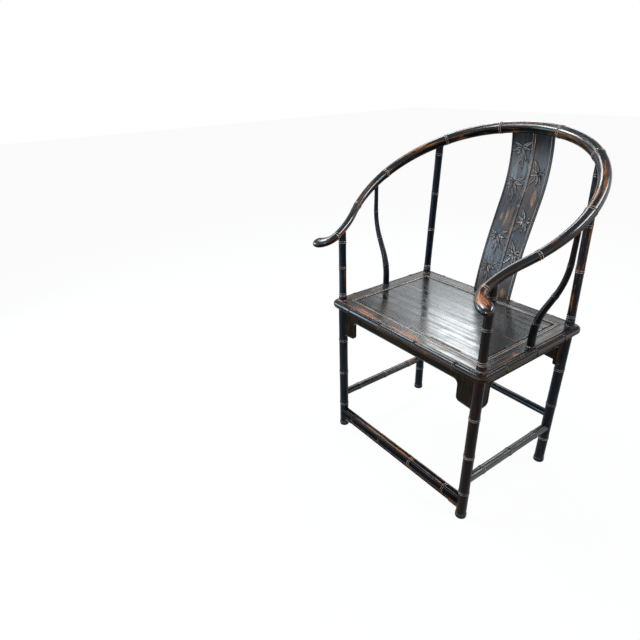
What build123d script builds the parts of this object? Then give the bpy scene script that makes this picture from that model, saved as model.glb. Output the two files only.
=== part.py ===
from build123d import *
import math
import os

# Horseshoe back armchair with carved bamboo sticks, in millimetres.
# X runs to the right of someone facing the chair, Y to the back and Z up.
# The origin is on the floor, under the middle of the chair's overall width and depth.
# Every joint is a tenon, tongue or peg in its own mortise, groove or hole.

# ---------------------------------------------------------------- driving sizes

joint_clearance = 0.1          # glue gap left on each side of a tenon or shoulder

# seat frame
seat_height = 490.0            # floor to the top of the seat frame
seat_width = 594.0
seat_depth = 434.0
seat_thickness = 25.0
seat_corner_radius = 24.0
seat_nose_radius = 12.0        # rounding of the outer edge, above and below
seat_member_width = 58.0
post_inset = 28.0              # post centre to the outer edge of the seat
seat_node_spacing = 137.0      # along the front and rear edges
seat_side_node_spacing = 126.0

# corner tenons of the seat frame and the pegs through them
corner_tenon_width = 11.0
corner_tenon_thickness = 6.0
corner_tenon_reach = 38.0      # past the inner edge of the side member
corner_tenon_setback = 4.0     # from the inner edge of the front member
frame_tenon_lift = 4.5         # above the underside of the frame
frame_peg_diameter = 5.0
frame_peg_place = 15.0         # from the inner edge of the side member

# floating panel and its battens
panel_thickness = 13.0
panel_drop = 1.0               # panel top below the frame top
panel_gap = 1.0                # room for the panel to swell
panel_tongue_thickness = 6.0
panel_tongue_width = 7.0
batten_width = 26.0
batten_height = 18.0
batten_spacing = 200.0
batten_tenon_width = 16.0
batten_tenon_thickness = 6.0
batten_tenon_length = 12.0

# legs and the posts that they turn into above the seat
leg_top_diameter = 27.6
leg_foot_diameter = 29.6
foot_diameter = 32.4
foot_height = 14.0
foot_rounding = 3.0
neck_diameter = 26.0           # where the stick passes through the seat frame
post_diameter = 22.4
post_collar_diameter = 25.2
post_collar_height = 14.0
post_root = 3.0                # how far the leaning post reaches down into the neck
leg_node_heights = (93.0, 222.0, 346.0)
front_post_node_heights = (22.0, 110.0, 190.0)
rear_post_node_heights = (26.0, 157.0, 276.0, 398.0)
post_tenon_diameter = 12.0
post_top_setback = 5.0         # highest point of a post's shoulder below the rail's centre

# carved bamboo nodes: two thin ridges with a groove between them
ridge_height = 0.9
ridge_width = 1.8
ridge_pitch = 5.6
four_in_a_row = (-1.5, -0.5, 0.5, 1.5)     # places of four evenly spaced nodes, in spacings
three_in_a_row = (-1, 0, 1)

# crest rail: tangent arcs in one sloping plane, from the middle of the back to the arm's end
rail_slope = 28.8              # degrees from level
arm_height = 226.0             # rail centre above the seat, at the front post
rail_back_overhang = 89.5      # rail centre behind the rear legs' centres
rail_side_overhang = 63.3      # rail centre outside the legs' centres, at the widest
back_radius = 390.0
back_half_turn = 21.0
shoulder_turn = 76.0
arm_turn = 21.0
wrist_radius = 240.0
wrist_turn = 24.0
hook_radius = 48.0
hook_turn = 104.0
hook_lead = 23.0               # start of the hook in front of the front legs' centres
rail_node_distances = (93.0, 259.0, 475.0, 632.0)
rail_node_diameters = (31.4, 30.4, 27.0, 22.4)
rail_back_diameter = 31.6
wrist_diameter = 22.4
# sections of the hook: the share of its length at which each lies, its width in the rail's plane,
# its thickness across the plane and how far its middle lies inside the curve
hook_shares = (0.0, 0.25, 0.5, 0.75, 0.93, 1.0)
hook_widths = (22.4, 26.0, 32.0, 35.0, 29.0, 16.0)
hook_thicknesses = (22.4, 22.8, 23.6, 24.0, 21.0, 13.0)
hook_shifts = (0.0, 1.8, 4.8, 5.6, 4.0, 2.0)

# scarf joints between the five sections of the crest rail
shoulder_scarf_setback = 104.1  # its middle, along the rail, behind the rear post
arm_scarf_reach = 54.8         # its middle, along the rail, in front of the side post
scarf_length = 60.0
scarf_peg_width = 7.0

# side posts: straight foot, bend out, straight, bend back and straight top
side_post_foot_diameter = 20.5
side_post_top_diameter = 11.6
side_post_node_diameters = (19.2, 15.6, 13.6)
side_post_inset = 23.0         # foot centre to the outer edge of the seat
side_post_depth = -1.0         # behind the middle of the seat
side_post_foot = 30.0
side_post_lower_radius = 200.0
side_post_lean_length = 40.0
side_post_upper_radius = 230.0
side_post_node_distances = (70.0, 160.0, 245.0)
side_foot_tenon_diameter = 12.0
side_top_tenon_diameter = 8.0
tenon_depth = 15.0             # of round tenons in the seat frame

# back splat
splat_width = 132.0
splat_thickness = 9.0
splat_foot_setback = 18.5      # foot centre in front of the rear edge of the seat
splat_foot_lean = 8.0          # degrees back from upright, at the seat
splat_middle_lean = 18.86      # the same, of the straight stretch between the two bends
splat_lower_radius = 1100.0
splat_upper_radius = 350.0
splat_top_setback = 5.0        # behind the rail's centre
splat_tenon_thickness = 5.0
splat_foot_tenon_width = 100.0
splat_top_tenon_width = 60.0
splat_top_tenon_length = 24.0

# aprons and spandrels under the seat
apron_thickness = 10.0
apron_depth = 33.0
side_apron_depth = 27.0
apron_tongue_thickness = 5.0
apron_tongue_height = 4.0
spandrel_drop = 97.0           # below the seat frame
spandrel_reach = 62.0          # from the leg's centre
side_spandrel_reach = 41.0
spandrel_seam = 30.0           # past the spandrel's edge, where the apron starts
spandrel_inner_radius = 14.0
spandrel_outer_radius = 13.0
spandrel_toe_rise = 5.0

# stretchers
footrest_height = 58.0         # centre line above the floor
footrest_depth = 28.0
footrest_thickness = 23.0
footrest_nose_radius = 11.0
footrest_back_radius = 3.0
footrest_setback = -3.0        # centre line behind the front legs' centres
footrest_node_spacing = 137.0
side_stretcher_height = 135.0
side_stretcher_diameter = 24.0
side_stretcher_node_spacing = 122.0
rear_stretcher_height = 182.0
rear_stretcher_diameter = 23.0
stretcher_tenon_diameter = 14.0
stretcher_tenon_stop = 3.0     # tenon end to the leg's centre

# shaped apron under the footrest
footrest_apron_thickness = 8.0
footrest_apron_depth = 12.0
footrest_apron_drop = 21.0     # at its two ends
footrest_apron_drop_reach = 45.0
footrest_apron_tongue = 3.0
footrest_apron_fillet = 6.0

# ---------------------------------------------------------------- worked-out sizes

half_seat_width = seat_width / 2
half_seat_depth = seat_depth / 2
leg_x = half_seat_width - post_inset
leg_y = half_seat_depth - post_inset
opening_x = half_seat_width - seat_member_width
opening_y = half_seat_depth - seat_member_width
seat_underside = seat_height - seat_thickness
panel_top = seat_height - panel_drop
panel_underside = panel_top - panel_thickness
groove_depth = panel_tongue_width + panel_gap
far = seat_width + seat_depth + seat_height    # longer than any piece
place_tolerance = joint_clearance / 1000       # of places found along the rail

slope = math.radians(rail_slope)
rail_plane_height = seat_height + arm_height + leg_y * math.tan(slope)
rail_plane = Plane(
    origin=(0, 0, rail_plane_height),
    x_dir=(1, 0, 0),
    z_dir=(0, -math.sin(slope), math.cos(slope)),
)


# ---------------------------------------------------------------- small helpers

def box_between(low, high):
    """A box given by its lowest and highest corners."""
    size = [b - a for a, b in zip(low, high)]
    centre = [(a + b) / 2 for a, b in zip(low, high)]
    return Pos(*centre) * Box(*size)


def rod(start, end, diameter):
    """A straight round rod between two points."""
    axis = Vector(end) - Vector(start)
    return extrude(Plane(origin=start, z_dir=axis) * Circle(diameter / 2), amount=axis.length)


def bent_rod(path, diameter):
    """A round rod along an arc or a line."""
    return sweep(Plane(origin=path @ 0, z_dir=path % 0) * Circle(diameter / 2), path=path)


def tapered_rod(path, first_diameter, last_diameter):
    """A round rod along an arc or a line, from one diameter to another."""
    first = Plane(origin=path @ 0, z_dir=path % 0) * Circle(first_diameter / 2)
    last = Plane(origin=path @ 1, z_dir=path % 1) * Circle(last_diameter / 2)
    return sweep([first, last], path=path, multisection=True)


def between(table, place):
    """The value at a place in a table of (place, value) pairs, going straight from one to the next."""
    for (low, first), (high, last) in zip(table, table[1:]):
        if low <= place <= high and high > low:
            return first + (last - first) * (place - low) / (high - low)
    return table[-1][1]


def tapered_stick(path, table, node_distances):
    """A stick along a chain of arcs and lines, its diameters given by (distance, diameter) pairs."""
    stick = Part()
    passed = 0
    for piece in path:
        first = between(table, passed)
        last = between(table, passed + piece.length)
        stick += tapered_rod(piece, first, last)
        for distance in node_distances:
            if passed <= distance < passed + piece.length:
                stick += node_ridges(piece, distance - passed, between(table, distance))
        passed += piece.length
    return stick


def ridge_offsets():
    """Where the two ridges of a node lie, each side of its middle."""
    return (-ridge_pitch / 2, ridge_pitch / 2)


def node_ridges(path, distance, diameter):
    """The two ridges of a bamboo node at a distance along an arc or a line."""
    ridges = []
    for offset in ridge_offsets():
        first = (distance + offset - ridge_width / 2) / path.length
        last = (distance + offset + ridge_width / 2) / path.length
        ridges.append(bent_rod(path.trim(first, last), diameter + 2 * ridge_height))
    return ridges


def turned_stick(outline, node_heights):
    """A stick turned about Z from (height, diameter) pairs, with carved nodes on it."""
    points = [(diameter / 2, height) for height, diameter in outline]
    profile = [(0, points[0][1])] + points + [(0, points[-1][1])]
    stick = revolve(Plane.XZ * make_face(Polyline(*profile, close=True)), axis=Axis.Z)
    for height in node_heights:
        diameter = between(outline, height)
        for offset in ridge_offsets():
            low = height + offset - ridge_width / 2
            stick += Pos(0, 0, low) * extrude(Circle(diameter / 2 + ridge_height), amount=ridge_width)
    return stick


def other_side(shape):
    """The same piece on the left of the chair."""
    return mirror(shape, about=Plane.YZ)


def solid_of(shape):
    """A shape with its faces merged, as one solid."""
    solids = shape.solids()
    if len(solids) != 1:
        raise ValueError(f"{len(solids)} solids where one is meant")
    return solids[0]


# ---------------------------------------------------------------- crest rail

def turn_depth(radius, first_heading, last_heading):
    """How far forward an arc runs in the rail's plane, between two headings in degrees."""
    change = math.cos(math.radians(first_heading)) - math.cos(math.radians(last_heading))
    return radius * abs(change)


def rail_bends():
    """The radius and turn of each arc of the rail's right half. A positive turn goes forward."""
    half_width = leg_x + rail_side_overhang
    back_sine = math.sin(math.radians(back_half_turn))
    shoulder_radius = (half_width - back_radius * back_sine) / (1 - back_sine)
    shoulder_end = back_half_turn + shoulder_turn
    arm_end = shoulder_end + arm_turn
    wrist_end = arm_end - wrist_turn
    whole = (2 * leg_y + rail_back_overhang + hook_lead) / math.cos(slope)
    taken = turn_depth(back_radius, 0, back_half_turn)
    taken += turn_depth(shoulder_radius, back_half_turn, shoulder_end)
    taken += turn_depth(wrist_radius, arm_end, wrist_end)
    arm_radius = (whole - taken) / turn_depth(1, shoulder_end, arm_end)
    return (
        (back_radius, back_half_turn),
        (shoulder_radius, shoulder_turn),
        (arm_radius, arm_turn),
        (wrist_radius, -wrist_turn),
        (hook_radius, -hook_turn),
    )


def rail_arcs():
    """The arcs of the rail's right half, in the rail's own plane."""
    arcs = []
    point = Vector(0, (leg_y + rail_back_overhang) / math.cos(slope))
    direction = Vector(1, 0)
    for radius, turn in rail_bends():
        arc = JernArc(start=point, tangent=direction, radius=radius, arc_size=-turn)
        arcs.append(Edge(arc.wrapped))
        point = arc @ 1
        direction = arc % 1
    return arcs


arcs_of_rail = rail_arcs()
hook_arc = arcs_of_rail[-1]
hook_distance = sum(arc.length for arc in arcs_of_rail[:-1])


def rail_stretch(start, end):
    """The arcs of the rail's centre line between two distances from the middle of the back."""
    pieces = []
    passed = 0
    for arc in arcs_of_rail:
        first = max(start - passed, 0) / arc.length
        last = min(end - passed, arc.length) / arc.length
        if (last - first) * arc.length > place_tolerance:
            pieces.append(arc if first == 0 and last == 1 else arc.trim(first, last))
        passed += arc.length
    return pieces


def rail_point(distance):
    """The place and direction of the rail's centre line, in the rail's own plane."""
    piece = rail_stretch(distance, distance + 1)[0]
    return piece @ 0, piece % 0


def rail_distance_over(y):
    """The distance along the rail at which it passes over a depth of the chair."""
    low, high = 0, hook_distance
    while high - low > place_tolerance:
        middle = (low + high) / 2
        if rail_point(middle)[0].Y * math.cos(slope) > y:
            low = middle
        else:
            high = middle
    return low


def scarf_distances():
    """The middles of the two scarf joints, as distances along the rail."""
    shoulder = rail_distance_over(leg_y) - shoulder_scarf_setback
    arm = rail_distance_over(side_post_depth) + arm_scarf_reach
    return shoulder, arm


def rail_place(distance):
    """The same point of the rail's centre line in the chair's frame."""
    return rail_plane.from_local_coords(rail_point(distance)[0])


def rail_table():
    """The rail's diameters as (distance, diameter) pairs."""
    nodes = tuple(zip(rail_node_distances, rail_node_diameters))
    return ((0, rail_back_diameter),) + nodes + ((hook_distance, wrist_diameter),)


def rail_tube(extra=0):
    """The right half of the rail up to its hook, plain, or the same grown by extra all round."""
    marks = [0]
    for arc in arcs_of_rail[:-1]:
        marks.append(marks[-1] + arc.length)
    marks = sorted(marks + list(rail_node_distances))
    tube = Part()
    for start, end in zip(marks, marks[1:]):
        first = between(rail_table(), start) + 2 * extra
        last = between(rail_table(), end) + 2 * extra
        for piece in rail_stretch(start, end):
            tube += tapered_rod(piece, first, last)
    return tube


def rail_ridges():
    """The carved nodes of the rail's right half."""
    ridges = []
    for distance in rail_node_distances + (hook_distance,):
        diameter = between(rail_table(), distance)
        for offset in ridge_offsets():
            middle = distance + offset
            for piece in rail_stretch(middle - ridge_width / 2, middle + ridge_width / 2):
                ridges.append(bent_rod(piece, diameter + 2 * ridge_height))
    return ridges


def hook():
    """The arm's end: it curls outward, swells on the inside of its curve and closes bluntly."""
    discs = []
    for share, width, thickness, shift in zip(hook_shares, hook_widths, hook_thicknesses, hook_shifts):
        forward = hook_arc % share
        inward = Vector(-forward.Y, forward.X, 0)
        spot = Plane(origin=hook_arc @ share + inward * shift, x_dir=inward, z_dir=forward)
        discs.append(spot * Ellipse(width / 2, thickness / 2))
    return loft(discs)


def past_scarf(distance):
    """All of the rail's right half that lies past a scarf joint, with the lower half of the lap."""
    point, direction = rail_point(distance)
    along = Plane(origin=point, x_dir=direction, z_dir=(0, 0, 1))
    lap = scarf_length / 2
    lower = box_between((-lap, -far, -far), (far, far, 0))
    upper = box_between((lap, -far, 0), (far, far, far))
    right_half = box_between((0, -far, -far), (far, far, far))
    return (along * (lower + upper)) & right_half


def scarf_peg(distance, extra=0):
    """The square peg through the middle of a scarf joint, before it is trimmed to the rail."""
    point, direction = rail_point(distance)
    along = Plane(origin=point, x_dir=direction, z_dir=(0, 0, 1))
    width = scarf_peg_width + 2 * extra
    return along * Box(width, width, 2 * rail_back_diameter)


def crest_rail_sections():
    """The five sections of the rail, in the chair's frame, and the pegs of their joints."""
    right = rail_tube() + hook() + rail_ridges()
    pegs = []
    for distance in scarf_distances():
        pegs.append(scarf_peg(distance) & right)
        right -= scarf_peg(distance, joint_clearance)
    past_shoulder, past_arm = [past_scarf(distance) for distance in scarf_distances()]
    centre = right - past_shoulder
    shoulder = (right & past_shoulder) - past_arm
    arm = right & past_arm
    whole_centre = centre + other_side(centre)
    pieces = {
        "crest_rail_centre": whole_centre,
        "crest_rail_right": shoulder,
        "arm_right": arm,
        "crest_rail_left": other_side(shoulder),
        "arm_left": other_side(arm),
    }
    pieces = {name: rail_plane.location * piece for name, piece in pieces.items()}
    both = pegs + [other_side(peg) for peg in pegs]
    return pieces, [rail_plane.location * solid_of(peg) for peg in both]


grown_tube = rail_plane.location * rail_tube(joint_clearance)
grown_rail = grown_tube + other_side(grown_tube)


# ---------------------------------------------------------------- legs and posts

def leg_below_seat():
    """A leg from its foot through the seat frame, about Z."""
    outline = (
        (0, foot_diameter - 2 * foot_rounding),
        (foot_rounding, foot_diameter),
        (foot_height - foot_rounding, foot_diameter),
        (foot_height, leg_foot_diameter),
        (seat_underside, leg_top_diameter),
        (seat_underside, neck_diameter),
        (seat_height, neck_diameter),
    )
    return turned_stick(outline, leg_node_heights)


def post_stick(length, node_heights):
    """A straight post above the seat, about Z from the seat frame's top."""
    outline = (
        (-post_root, post_collar_diameter),
        (post_collar_height, post_diameter),
        (length, post_diameter),
    )
    return turned_stick(outline, node_heights)


def post_tenon(y, extra=0):
    """The round tenon of the right post at a depth of the chair, or its hole when grown by extra."""
    top = rail_place(rail_distance_over(y))
    axis = (top - Vector(leg_x, y, seat_height)).normalized()
    start = top - axis * rail_back_diameter
    return rod(start, top + axis * extra, post_tenon_diameter + 2 * extra)


def leg(y, node_heights):
    """The right leg at a depth of the chair, with its post, which leans to meet the rail."""
    seat_point = Vector(leg_x, y, seat_height)
    top = rail_place(rail_distance_over(y))
    axis = top - seat_point
    stick = post_stick(axis.length - post_top_setback, node_heights)
    stick = Plane(origin=seat_point, z_dir=axis).location * stick
    foot = Pos(leg_x, y, 0) * leg_below_seat()
    return foot + (stick - grown_rail) + post_tenon(y)


# ---------------------------------------------------------------- side posts

def side_post_path():
    """The centre line of the right side post from the seat up to the rail, as lines and arcs."""
    top = rail_place(rail_distance_over(side_post_depth))
    foot = Vector(half_seat_width - side_post_inset, side_post_depth, seat_height)
    shift = top.X - foot.X
    radii = side_post_lower_radius + side_post_upper_radius
    reach = math.hypot(radii, side_post_lean_length)
    lean = math.acos((radii - shift) / reach) - math.atan2(side_post_lean_length, radii)
    lean_degrees = math.degrees(lean)
    side = Plane(origin=foot, x_dir=(1, 0, 0), z_dir=(0, -1, 0))
    foot_line = Edge.make_line((0, 0), (0, side_post_foot))
    lower = JernArc(foot_line @ 1, (0, 1), side_post_lower_radius, -lean_degrees)
    lean_end = lower @ 1 + (lower % 1) * side_post_lean_length
    leaning = Edge.make_line(lower @ 1, lean_end)
    upper = JernArc(lean_end, leaning % 1, side_post_upper_radius, lean_degrees)
    last = Edge.make_line(upper @ 1, (shift, top.Z - foot.Z))
    parts = (foot_line, Edge(lower.wrapped), leaning, Edge(upper.wrapped), last)
    return [side.location * part for part in parts]


def side_post():
    """The right side post with its tenons."""
    path = side_post_path()
    length = sum(piece.length for piece in path)
    nodes = tuple(zip(side_post_node_distances, side_post_node_diameters))
    table = ((0, side_post_foot_diameter),) + nodes + ((length, side_post_top_diameter),)
    post = tapered_stick(path, table, side_post_node_distances)
    foot = path[0] @ 0
    top = path[-1] @ 1
    low_tenon = rod(foot - Vector(0, 0, tenon_depth), foot, side_foot_tenon_diameter)
    high_tenon = rod(top - Vector(0, 0, rail_back_diameter), top, side_top_tenon_diameter)
    return (post - grown_rail) + low_tenon + high_tenon


# ---------------------------------------------------------------- back splat

def splat_path():
    """The splat's middle line, in the plane of Y and Z, from the seat to inside the crest rail."""
    foot = Vector(0, half_seat_depth - splat_foot_setback, seat_height)
    top = rail_place(0) + Vector(0, splat_top_setback, 0)
    side = Plane(origin=foot, x_dir=(0, 1, 0), z_dir=(1, 0, 0))
    lean = math.radians(splat_foot_lean)
    first_heading = Vector(math.sin(lean), math.cos(lean))
    first_turn = splat_middle_lean - splat_foot_lean
    lower = JernArc((0, 0), first_heading, splat_lower_radius, -first_turn)
    heading = lower % 1
    ahead = Vector(top.Y - foot.Y, top.Z - foot.Z) - lower @ 1
    along = ahead.dot(heading)
    aside = ahead.dot(Vector(-heading.Y, heading.X))
    bend = math.acos(1 - aside / splat_upper_radius)
    straight_end = lower @ 1 + heading * (along - splat_upper_radius * math.sin(bend))
    middle = Edge.make_line(lower @ 1, straight_end)
    upper = JernArc(straight_end, heading, splat_upper_radius, math.degrees(bend))
    return [side.location * part for part in (Edge(lower.wrapped), middle, Edge(upper.wrapped))]


def splat_tenons(extra=0):
    """The splat's foot tenon and top tenon, or the mortises for them when grown by extra."""
    path = splat_path()
    foot = path[0] @ 0
    half_thickness = splat_tenon_thickness / 2 + extra
    half_foot = splat_foot_tenon_width / 2 + extra
    low = box_between(
        (-half_foot, foot.Y - half_thickness, foot.Z - tenon_depth - extra),
        (half_foot, foot.Y + half_thickness, foot.Z + splat_thickness),
    )
    top = path[-1] @ 1
    along = Plane(origin=top, x_dir=(1, 0, 0), z_dir=path[-1] % 1)
    half_top = splat_top_tenon_width / 2 + extra
    high = along * box_between(
        (-half_top, -half_thickness, -splat_top_tenon_length),
        (half_top, half_thickness, extra),
    )
    return low, high


def back_splat():
    """The curved splat with a tenon at each end."""
    board = Part()
    for piece in splat_path():
        section = Plane(origin=piece @ 0, x_dir=(1, 0, 0), z_dir=piece % 0)
        board += sweep(section * Rectangle(splat_width, splat_thickness), path=piece)
    board -= grown_rail
    upper_end = rail_place(0).Z
    board -= box_between((-far, -far, upper_end), (far, far, far))
    board = max(board.solids(), key=lambda solid: solid.volume)
    board -= box_between((-far, -far, 0), (far, far, seat_height))
    low, high = splat_tenons()
    foot_stub = low & box_between((-far, -far, 0), (far, far, seat_height + splat_tenon_thickness / 2))
    return board + foot_stub + high


# ---------------------------------------------------------------- seat frame

def seat_slab(extra=0):
    """The outer form of the seat frame: a slab with rounded corners and a rounded edge."""
    outline = RectangleRounded(
        seat_width + 2 * extra, seat_depth + 2 * extra, seat_corner_radius + extra
    )
    slab = Pos(0, 0, seat_underside - extra) * extrude(outline, amount=seat_thickness + 2 * extra)
    rims = slab.faces().sort_by(Axis.Z)
    edges = rims[0].edges() + rims[-1].edges()
    return fillet(edges, seat_nose_radius + extra)


def seat_nodes():
    """The bamboo nodes carved on the rounded edge of the seat."""
    skin = seat_slab(ridge_height)
    inner = box_between(
        (seat_nose_radius - half_seat_width, seat_nose_radius - half_seat_depth, -far),
        (half_seat_width - seat_nose_radius, half_seat_depth - seat_nose_radius, far),
    )
    bands = []
    for step in four_in_a_row:
        for offset in ridge_offsets():
            low = step * seat_node_spacing + offset - ridge_width / 2
            bands.append(box_between((low, -far, -far), (low + ridge_width, far, far)))
    for step in three_in_a_row:
        for offset in ridge_offsets():
            low = step * seat_side_node_spacing + offset - ridge_width / 2
            bands.append(box_between((-far, low, -far), (far, low + ridge_width, far)))
    return [(skin & band) - inner for band in bands]


def right_wedge():
    """The part of the plan that the right member takes up between its two mitres."""
    tip = half_seat_width - half_seat_depth
    points = ((tip, 0), (far, far - tip), (far, tip - far))
    return extrude(make_face(Polyline(*points, close=True)), amount=far)


def rear_wedge():
    """The part of the plan that the rear member takes up between its two mitres."""
    tip = half_seat_width - half_seat_depth
    points = ((tip, 0), (-tip, 0), (-far, far - tip), (far, far - tip))
    return extrude(make_face(Polyline(*points, close=True)), amount=far)


def corner_tenon(x_side, y_side, extra=0):
    """A tenon of the front or rear member that enters a side member."""
    base = seat_underside + frame_tenon_lift
    inner = opening_y + corner_tenon_setback
    low = (opening_x, inner - extra, base - extra)
    high = (
        opening_x + corner_tenon_reach + extra,
        inner + corner_tenon_width + extra,
        base + corner_tenon_thickness + extra,
    )
    tenon = box_between(low, high)
    if x_side < 0:
        tenon = mirror(tenon, about=Plane.YZ)
    if y_side < 0:
        tenon = mirror(tenon, about=Plane.XZ)
    return tenon


def frame_peg(x_side, y_side, extra=0):
    """The peg that goes up through a corner tenon."""
    x = opening_x + frame_peg_place
    y = opening_y + corner_tenon_setback + corner_tenon_width / 2
    top = seat_underside + frame_tenon_lift + 2 * corner_tenon_thickness + extra
    start = (x_side * x, y_side * y, seat_underside)
    end = (x_side * x, y_side * y, top)
    return rod(start, end, frame_peg_diameter + 2 * extra)


corners = [(x_side, y_side) for x_side in (-1, 1) for y_side in (-1, 1)]


def apron_tongue_groove(extra=0):
    """The tongues of all aprons and spandrels as four bars, or the grooves for them."""
    half = apron_tongue_thickness / 2 + extra
    top = seat_underside + apron_tongue_height + extra
    low = seat_underside - extra
    bars = []
    for side in (-1, 1):
        bars.append(box_between((-leg_x, side * leg_y - half, low), (leg_x, side * leg_y + half, top)))
        bars.append(box_between((side * leg_x - half, -leg_y, low), (side * leg_x + half, leg_y, top)))
    return bars


def batten_tenons(x_side, extra=0):
    """The tenons of a batten in the front and rear members, as one bar through the batten."""
    half_width = batten_tenon_width / 2 + extra
    reach = opening_y + batten_tenon_length + extra
    middle = x_side * batten_spacing / 2
    base = seat_underside + frame_tenon_lift
    low = (middle - half_width, -reach, base - extra)
    high = (middle + half_width, reach, base + batten_tenon_thickness + extra)
    return box_between(low, high)


def panel_groove():
    """The groove round the inside of the frame for the panel's tongue."""
    middle = panel_underside + panel_tongue_thickness / 2
    width = 2 * (opening_x + groove_depth)
    depth = 2 * (opening_y + groove_depth)
    return Pos(0, 0, middle) * Box(width, depth, panel_tongue_thickness + 2 * joint_clearance)


def seat_frame():
    """The four mitred members of the seat frame."""
    slab = seat_slab() + seat_nodes()
    slab -= box_between((-opening_x, -opening_y, 0), (opening_x, opening_y, far))
    slab -= panel_groove()
    slab -= apron_tongue_groove(joint_clearance)
    members = {
        "seat_rail_right": slab & right_wedge(),
        "seat_rail_left": slab & other_side(right_wedge()),
        "seat_rail_front": slab & mirror(rear_wedge(), about=Plane.XZ),
        "seat_rail_rear": slab & rear_wedge(),
    }
    for x_side, y_side in corners:
        long_member = "seat_rail_rear" if y_side > 0 else "seat_rail_front"
        side_member = "seat_rail_right" if x_side > 0 else "seat_rail_left"
        members[side_member] -= corner_tenon(x_side, y_side, joint_clearance)
        members[long_member] += corner_tenon(x_side, y_side)
        hole_radius = neck_diameter / 2 + joint_clearance
        post_hole = Pos(x_side * leg_x, y_side * leg_y, 0) * extrude(Circle(hole_radius), amount=far)
        for member in (long_member, side_member):
            members[member] -= post_hole
            members[member] -= frame_peg(x_side, y_side, joint_clearance)
    for x_side in (-1, 1):
        for member in ("seat_rail_front", "seat_rail_rear"):
            members[member] -= batten_tenons(x_side, joint_clearance)
    for side, member in ((1, "seat_rail_right"), (-1, "seat_rail_left")):
        foot = Vector(side * (half_seat_width - side_post_inset), side_post_depth, seat_height)
        low = foot - Vector(0, 0, tenon_depth + joint_clearance)
        members[member] -= rod(low, foot, side_foot_tenon_diameter + 2 * joint_clearance)
    members["seat_rail_rear"] -= splat_tenons(joint_clearance)[0]
    return members


def seat_panel():
    """The floating panel with a tongue on all four edges."""
    body_x = opening_x - panel_gap
    body_y = opening_y - panel_gap
    body = box_between((-body_x, -body_y, panel_underside), (body_x, body_y, panel_top))
    tongue_x = body_x + panel_tongue_width
    tongue_y = body_y + panel_tongue_width
    tongue_top = panel_underside + panel_tongue_thickness
    return body + box_between((-tongue_x, -tongue_y, panel_underside), (tongue_x, tongue_y, tongue_top))


def seat_batten(x_side):
    """A batten under the panel, tenoned into the front and rear members."""
    middle = x_side * batten_spacing / 2
    half_length = opening_y - joint_clearance
    low = (middle - batten_width / 2, -half_length, panel_underside - batten_height)
    high = (middle + batten_width / 2, half_length, panel_underside)
    return box_between(low, high) + batten_tenons(x_side)


# ---------------------------------------------------------------- aprons and spandrels

def leg_clearance():
    """The four legs below the seat, grown by the joint clearance, to shape what butts on them."""
    outline = (
        (0, foot_diameter + 2 * joint_clearance),
        (foot_height, leg_foot_diameter + 2 * joint_clearance),
        (seat_underside, leg_top_diameter + 2 * joint_clearance),
        (seat_height, leg_top_diameter + 2 * joint_clearance),
    )
    stick = turned_stick(outline, ())
    return [Pos(x_side * leg_x, y_side * leg_y, 0) * stick for x_side, y_side in corners]


grown_legs = leg_clearance()


def spandrel_profile(reach, depth):
    """A spandrel's face: X is the distance from the leg's centre, Y the height above the frame's underside."""
    seam = reach + spandrel_seam
    points = (
        (0, apron_tongue_height),
        (seam, apron_tongue_height),
        (seam, -depth),
        (reach, -depth),
        (reach, spandrel_toe_rise - spandrel_drop),
        (0, -spandrel_drop),
    )
    face = make_face(Polyline(*points, close=True))
    inner = face.vertices().sort_by_distance(Vector(reach, -depth))[0]
    face = fillet(inner, spandrel_inner_radius)
    outer = face.vertices().sort_by_distance(Vector(reach, spandrel_toe_rise - spandrel_drop))[0]
    return fillet(outer, spandrel_outer_radius)


def tongued_board(upright_face):
    """A board from an upright face, with all of it above height 0 thinned to a tongue."""
    board = extrude(upright_face, amount=apron_thickness / 2, both=True)
    tongue = extrude(upright_face, amount=apron_tongue_thickness / 2, both=True)
    return (board - box_between((-far, -far, 0), (far, far, far))) + tongue


def board_on_front(face):
    """A board upright under the front member, from a face drawn in X and height."""
    return Pos(0, -leg_y, seat_underside) * tongued_board(Plane.XZ * face)


def board_on_right(face):
    """A board upright under the right member, from a face drawn in Y and height."""
    return Pos(leg_x, 0, seat_underside) * tongued_board(Plane.YZ * face)


def apron_face(half_length, depth):
    """The straight board between two spandrels."""
    height = depth + apron_tongue_height
    return Pos(0, apron_tongue_height - height / 2) * Rectangle(2 * half_length, height)


def aprons_and_spandrels():
    """Four aprons and the eight spandrels beside them."""
    front_half = leg_x - spandrel_reach - spandrel_seam
    side_half = leg_y - side_spandrel_reach - spandrel_seam
    front = board_on_front(apron_face(front_half, apron_depth))
    right = board_on_right(apron_face(side_half, side_apron_depth))
    front_shape = spandrel_profile(spandrel_reach, apron_depth)
    side_shape = spandrel_profile(side_spandrel_reach, side_apron_depth)
    facing_right = mirror(front_shape, about=Plane.YZ)
    front_spandrel = board_on_front(Pos(leg_x, 0) * facing_right)
    side_spandrel = board_on_right(Pos(-leg_y, 0) * side_shape)
    for leg in grown_legs:
        front_spandrel -= leg
        side_spandrel -= leg
    # The two tongues that meet over a leg end on it, so neither reaches the other.
    pieces = {
        "apron_front": front,
        "apron_rear": mirror(front, about=Plane.XZ),
        "apron_right": right,
        "apron_left": other_side(right),
        "spandrel_front_right": front_spandrel,
        "spandrel_rear_right": mirror(front_spandrel, about=Plane.XZ),
        "spandrel_right_front": side_spandrel,
        "spandrel_right_rear": mirror(side_spandrel, about=Plane.XZ),
    }
    pieces["spandrel_front_left"] = other_side(pieces["spandrel_front_right"])
    pieces["spandrel_rear_left"] = other_side(pieces["spandrel_rear_right"])
    pieces["spandrel_left_front"] = other_side(pieces["spandrel_right_front"])
    pieces["spandrel_left_rear"] = other_side(pieces["spandrel_right_rear"])
    return pieces


# ---------------------------------------------------------------- stretchers

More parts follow.
